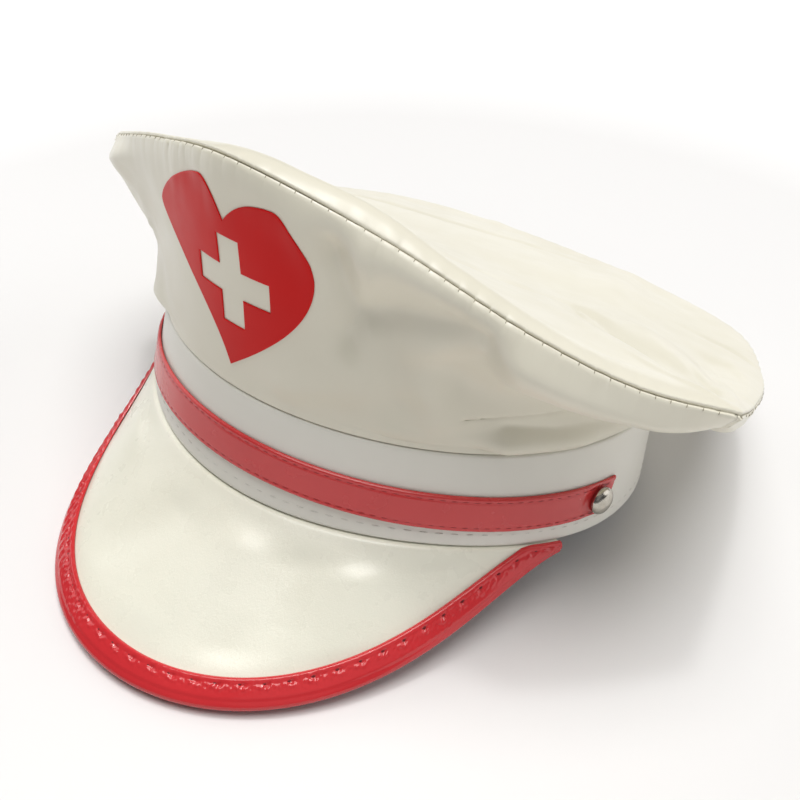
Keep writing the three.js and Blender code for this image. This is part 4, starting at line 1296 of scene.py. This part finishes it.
def build_seam_stitches():
    """Fine ticks across the rim seam, one at the bottom of each pucker, their dark thread painted shade.
    """
    turns = np.linspace(-89.0, 269.0, 4001)
    marks = np.arange(1.0, np.floor(pucker_arc(turns)[-1] / PUCKER_PITCH)) * PUCKER_PITCH
    turn = np.interp(marks, pucker_arc(turns), turns)
    turn = turn[np.abs(turn - SIDE_SEAM_TURN) > 1.5]
    share = 0.0 * turn + 1.0 - SEAM_STITCH_DROP / WALL_HEIGHT
    here, above = wall_surface(turn, share), wall_surface(turn, share + 0.6 / WALL_HEIGHT)
    along = unit(wall_surface(turn + 0.1, share) - wall_surface(turn - 0.1, share))
    normals = unit(np.cross(along, above - here))
    centres = here + normals * (CROWN_WALL - SEAM_STITCH_SINK)
    return build_stitches(
        "seam_stitches", centres, above - here, normals,
        SEAM_STITCH_LENGTH, SEAM_STITCH_RADIUS, seam_thread_painted_shade,
    )


def stitch_path(spans, lift):
    """The tape's stitched line, lifted off its inner face."""
    ones = 0.0 * spans + 1.0
    return tape_path(spans, TAPE_STITCH_SHARE * ones, 0.0 * ones, ones, lift * ones)


def build_tape_stitches():
    """Dark red stitches in the tape's puckered channel; their darkness is painted shade of the stitch
    holes.
    """
    spans = np.linspace(-TAPE_STITCH_SPAN, TAPE_STITCH_SPAN, 721)
    marks = evenly_along(stitch_path(spans, 0.0), TAPE_PITCH)
    spans = lerp(-TAPE_STITCH_SPAN, TAPE_STITCH_SPAN, marks)
    lift = BINDING_WALL + TAPE_STITCH_STAND
    here, ahead = stitch_path(spans, lift), stitch_path(spans + 0.002, lift)
    normals = visor_edge(spans)[1]
    return build_stitches(
        "tape_stitches", here, ahead - here, normals,
        TAPE_STITCH_LENGTH, TAPE_STITCH_RADIUS, red_thread_painted_shade,
    )


build_band()
build_wall("crown_wall_front", "crown_front", -SIDE_SEAM_TURN, SIDE_SEAM_TURN, 430)
build_wall("crown_wall_back", "crown_back", SIDE_SEAM_TURN, LAST_TURN, 240)
build_side_seam("side_seam_left", 1.0)
build_side_seam("side_seam_right", -1.0)
build_top()
build_visor()
build_tape()
build_strap()
build_rivet("rivet_dome_left", "rivet_left", 1.0)
build_rivet("rivet_dome_right", "rivet_right", -1.0)
build_heart()
build_band_stitches()
build_strap_stitches()
build_seam_stitches()
build_tape_stitches()


# Floor, light and camera

def add_floor():
    """A level square under the cap."""
    signs = ((-1.0, -1.0), (1.0, -1.0), (1.0, 1.0), (-1.0, 1.0))
    corners = [(x * FLOOR_HALF, y * FLOOR_HALF, 0.0) for x, y in signs]
    mesh = bpy.data.meshes.new("floor")
    mesh.from_pydata(corners, [], [(0, 1, 2, 3)])
    mesh.materials.append(paper_floor())
    floor = bpy.data.objects.new("floor", mesh)
    bpy.context.scene.collection.objects.link(floor)


def add_sky_light(name, towards, angle, strength, colour):
    """A broad even light from far away: its direction, and how wide it looks in degrees."""
    data = bpy.data.lights.new(name, "SUN")
    data.angle = math.radians(angle)
    data.energy = strength
    data.color = colour
    light = bpy.data.objects.new(name, data)
    back = unit(np.array(towards, dtype=float))
    right = unit(np.cross(np.array([0.0, 1.0, 0.0]), back))
    light.matrix_world = axes_matrix(right, np.cross(back, right), back, np.zeros(3))
    bpy.context.scene.collection.objects.link(light)


def axes_matrix(right, up, back, place):
    """Matrix of a light or camera from its three directions and its place."""
    rows = np.eye(4)
    rows[:3, 0], rows[:3, 1], rows[:3, 2], rows[:3, 3] = right, up, back, place
    return Matrix(rows.tolist())


def add_camera():
    """The photograph's view, given round the cap and tipped back with it."""
    degrees = (CAMERA_AZIMUTH, CAMERA_ELEVATION, CAMERA_ROLL)
    azimuth, elevation, roll = (math.radians(angle) for angle in degrees)
    level = math.cos(elevation)
    back = np.array([math.sin(azimuth) * level, -math.cos(azimuth) * level, math.sin(elevation)])
    right = np.array([math.cos(azimuth), math.sin(azimuth), 0.0])
    up = np.cross(back, right)
    axis_right = right * math.cos(roll) + up * math.sin(roll)
    axis_up = up * math.cos(roll) - right * math.sin(roll)
    eye = np.array(CAMERA_TARGET) + back * CAMERA_DISTANCE
    place = to_rest(eye)
    axes = [unit(to_rest(eye + axis) - place) for axis in (axis_right, axis_up, back)]
    data = bpy.data.cameras.new("camera")
    data.sensor_width = SENSOR_WIDTH
    data.lens = CAMERA_FOCUS_PIXELS / IMAGE_PIXELS * SENSOR_WIDTH
    data.shift_x = (IMAGE_PIXELS / 2.0 - CAMERA_AXIS_PIXEL[0]) / IMAGE_PIXELS
    data.shift_y = (CAMERA_AXIS_PIXEL[1] - IMAGE_PIXELS / 2.0) / IMAGE_PIXELS
    data.clip_start = 0.01
    camera = bpy.data.objects.new("camera", data)
    camera.matrix_world = axes_matrix(*axes, place)
    bpy.context.scene.collection.objects.link(camera)
    bpy.context.scene.camera = camera


def add_world():
    """A faint even light from all round."""
    world = bpy.data.worlds.new("pale_room")
    world.use_nodes = True
    background = world.node_tree.nodes["Background"]
    background.inputs["Color"].default_value = (0.97, 0.98, 1.0, 1.0)
    background.inputs["Strength"].default_value = 0.10
    bpy.context.scene.world = world


add_floor()
add_sky_light("ceiling", (0.0, 0.0, 1.0), angle=46.0, strength=2.50, colour=(1.0, 0.995, 0.98))
add_sky_light("room_right", (0.70, 0.65, 0.45), angle=50.0, strength=0.80, colour=(1.0, 0.99, 0.99))
add_sky_light("room_front", (0.60, -0.45, 0.65), angle=50.0, strength=0.12, colour=(1.0, 1.0, 1.0))
add_sky_light("room_left", (-0.85, 0.10, 0.45), angle=45.0, strength=0.60, colour=(1.0, 1.0, 1.0))
add_sky_light("window", (-0.10, 0.10, 1.0), angle=6.0, strength=0.45, colour=(1.0, 1.0, 1.0))
add_world()
add_camera()
bpy.context.scene.view_settings.view_transform = "Standard"
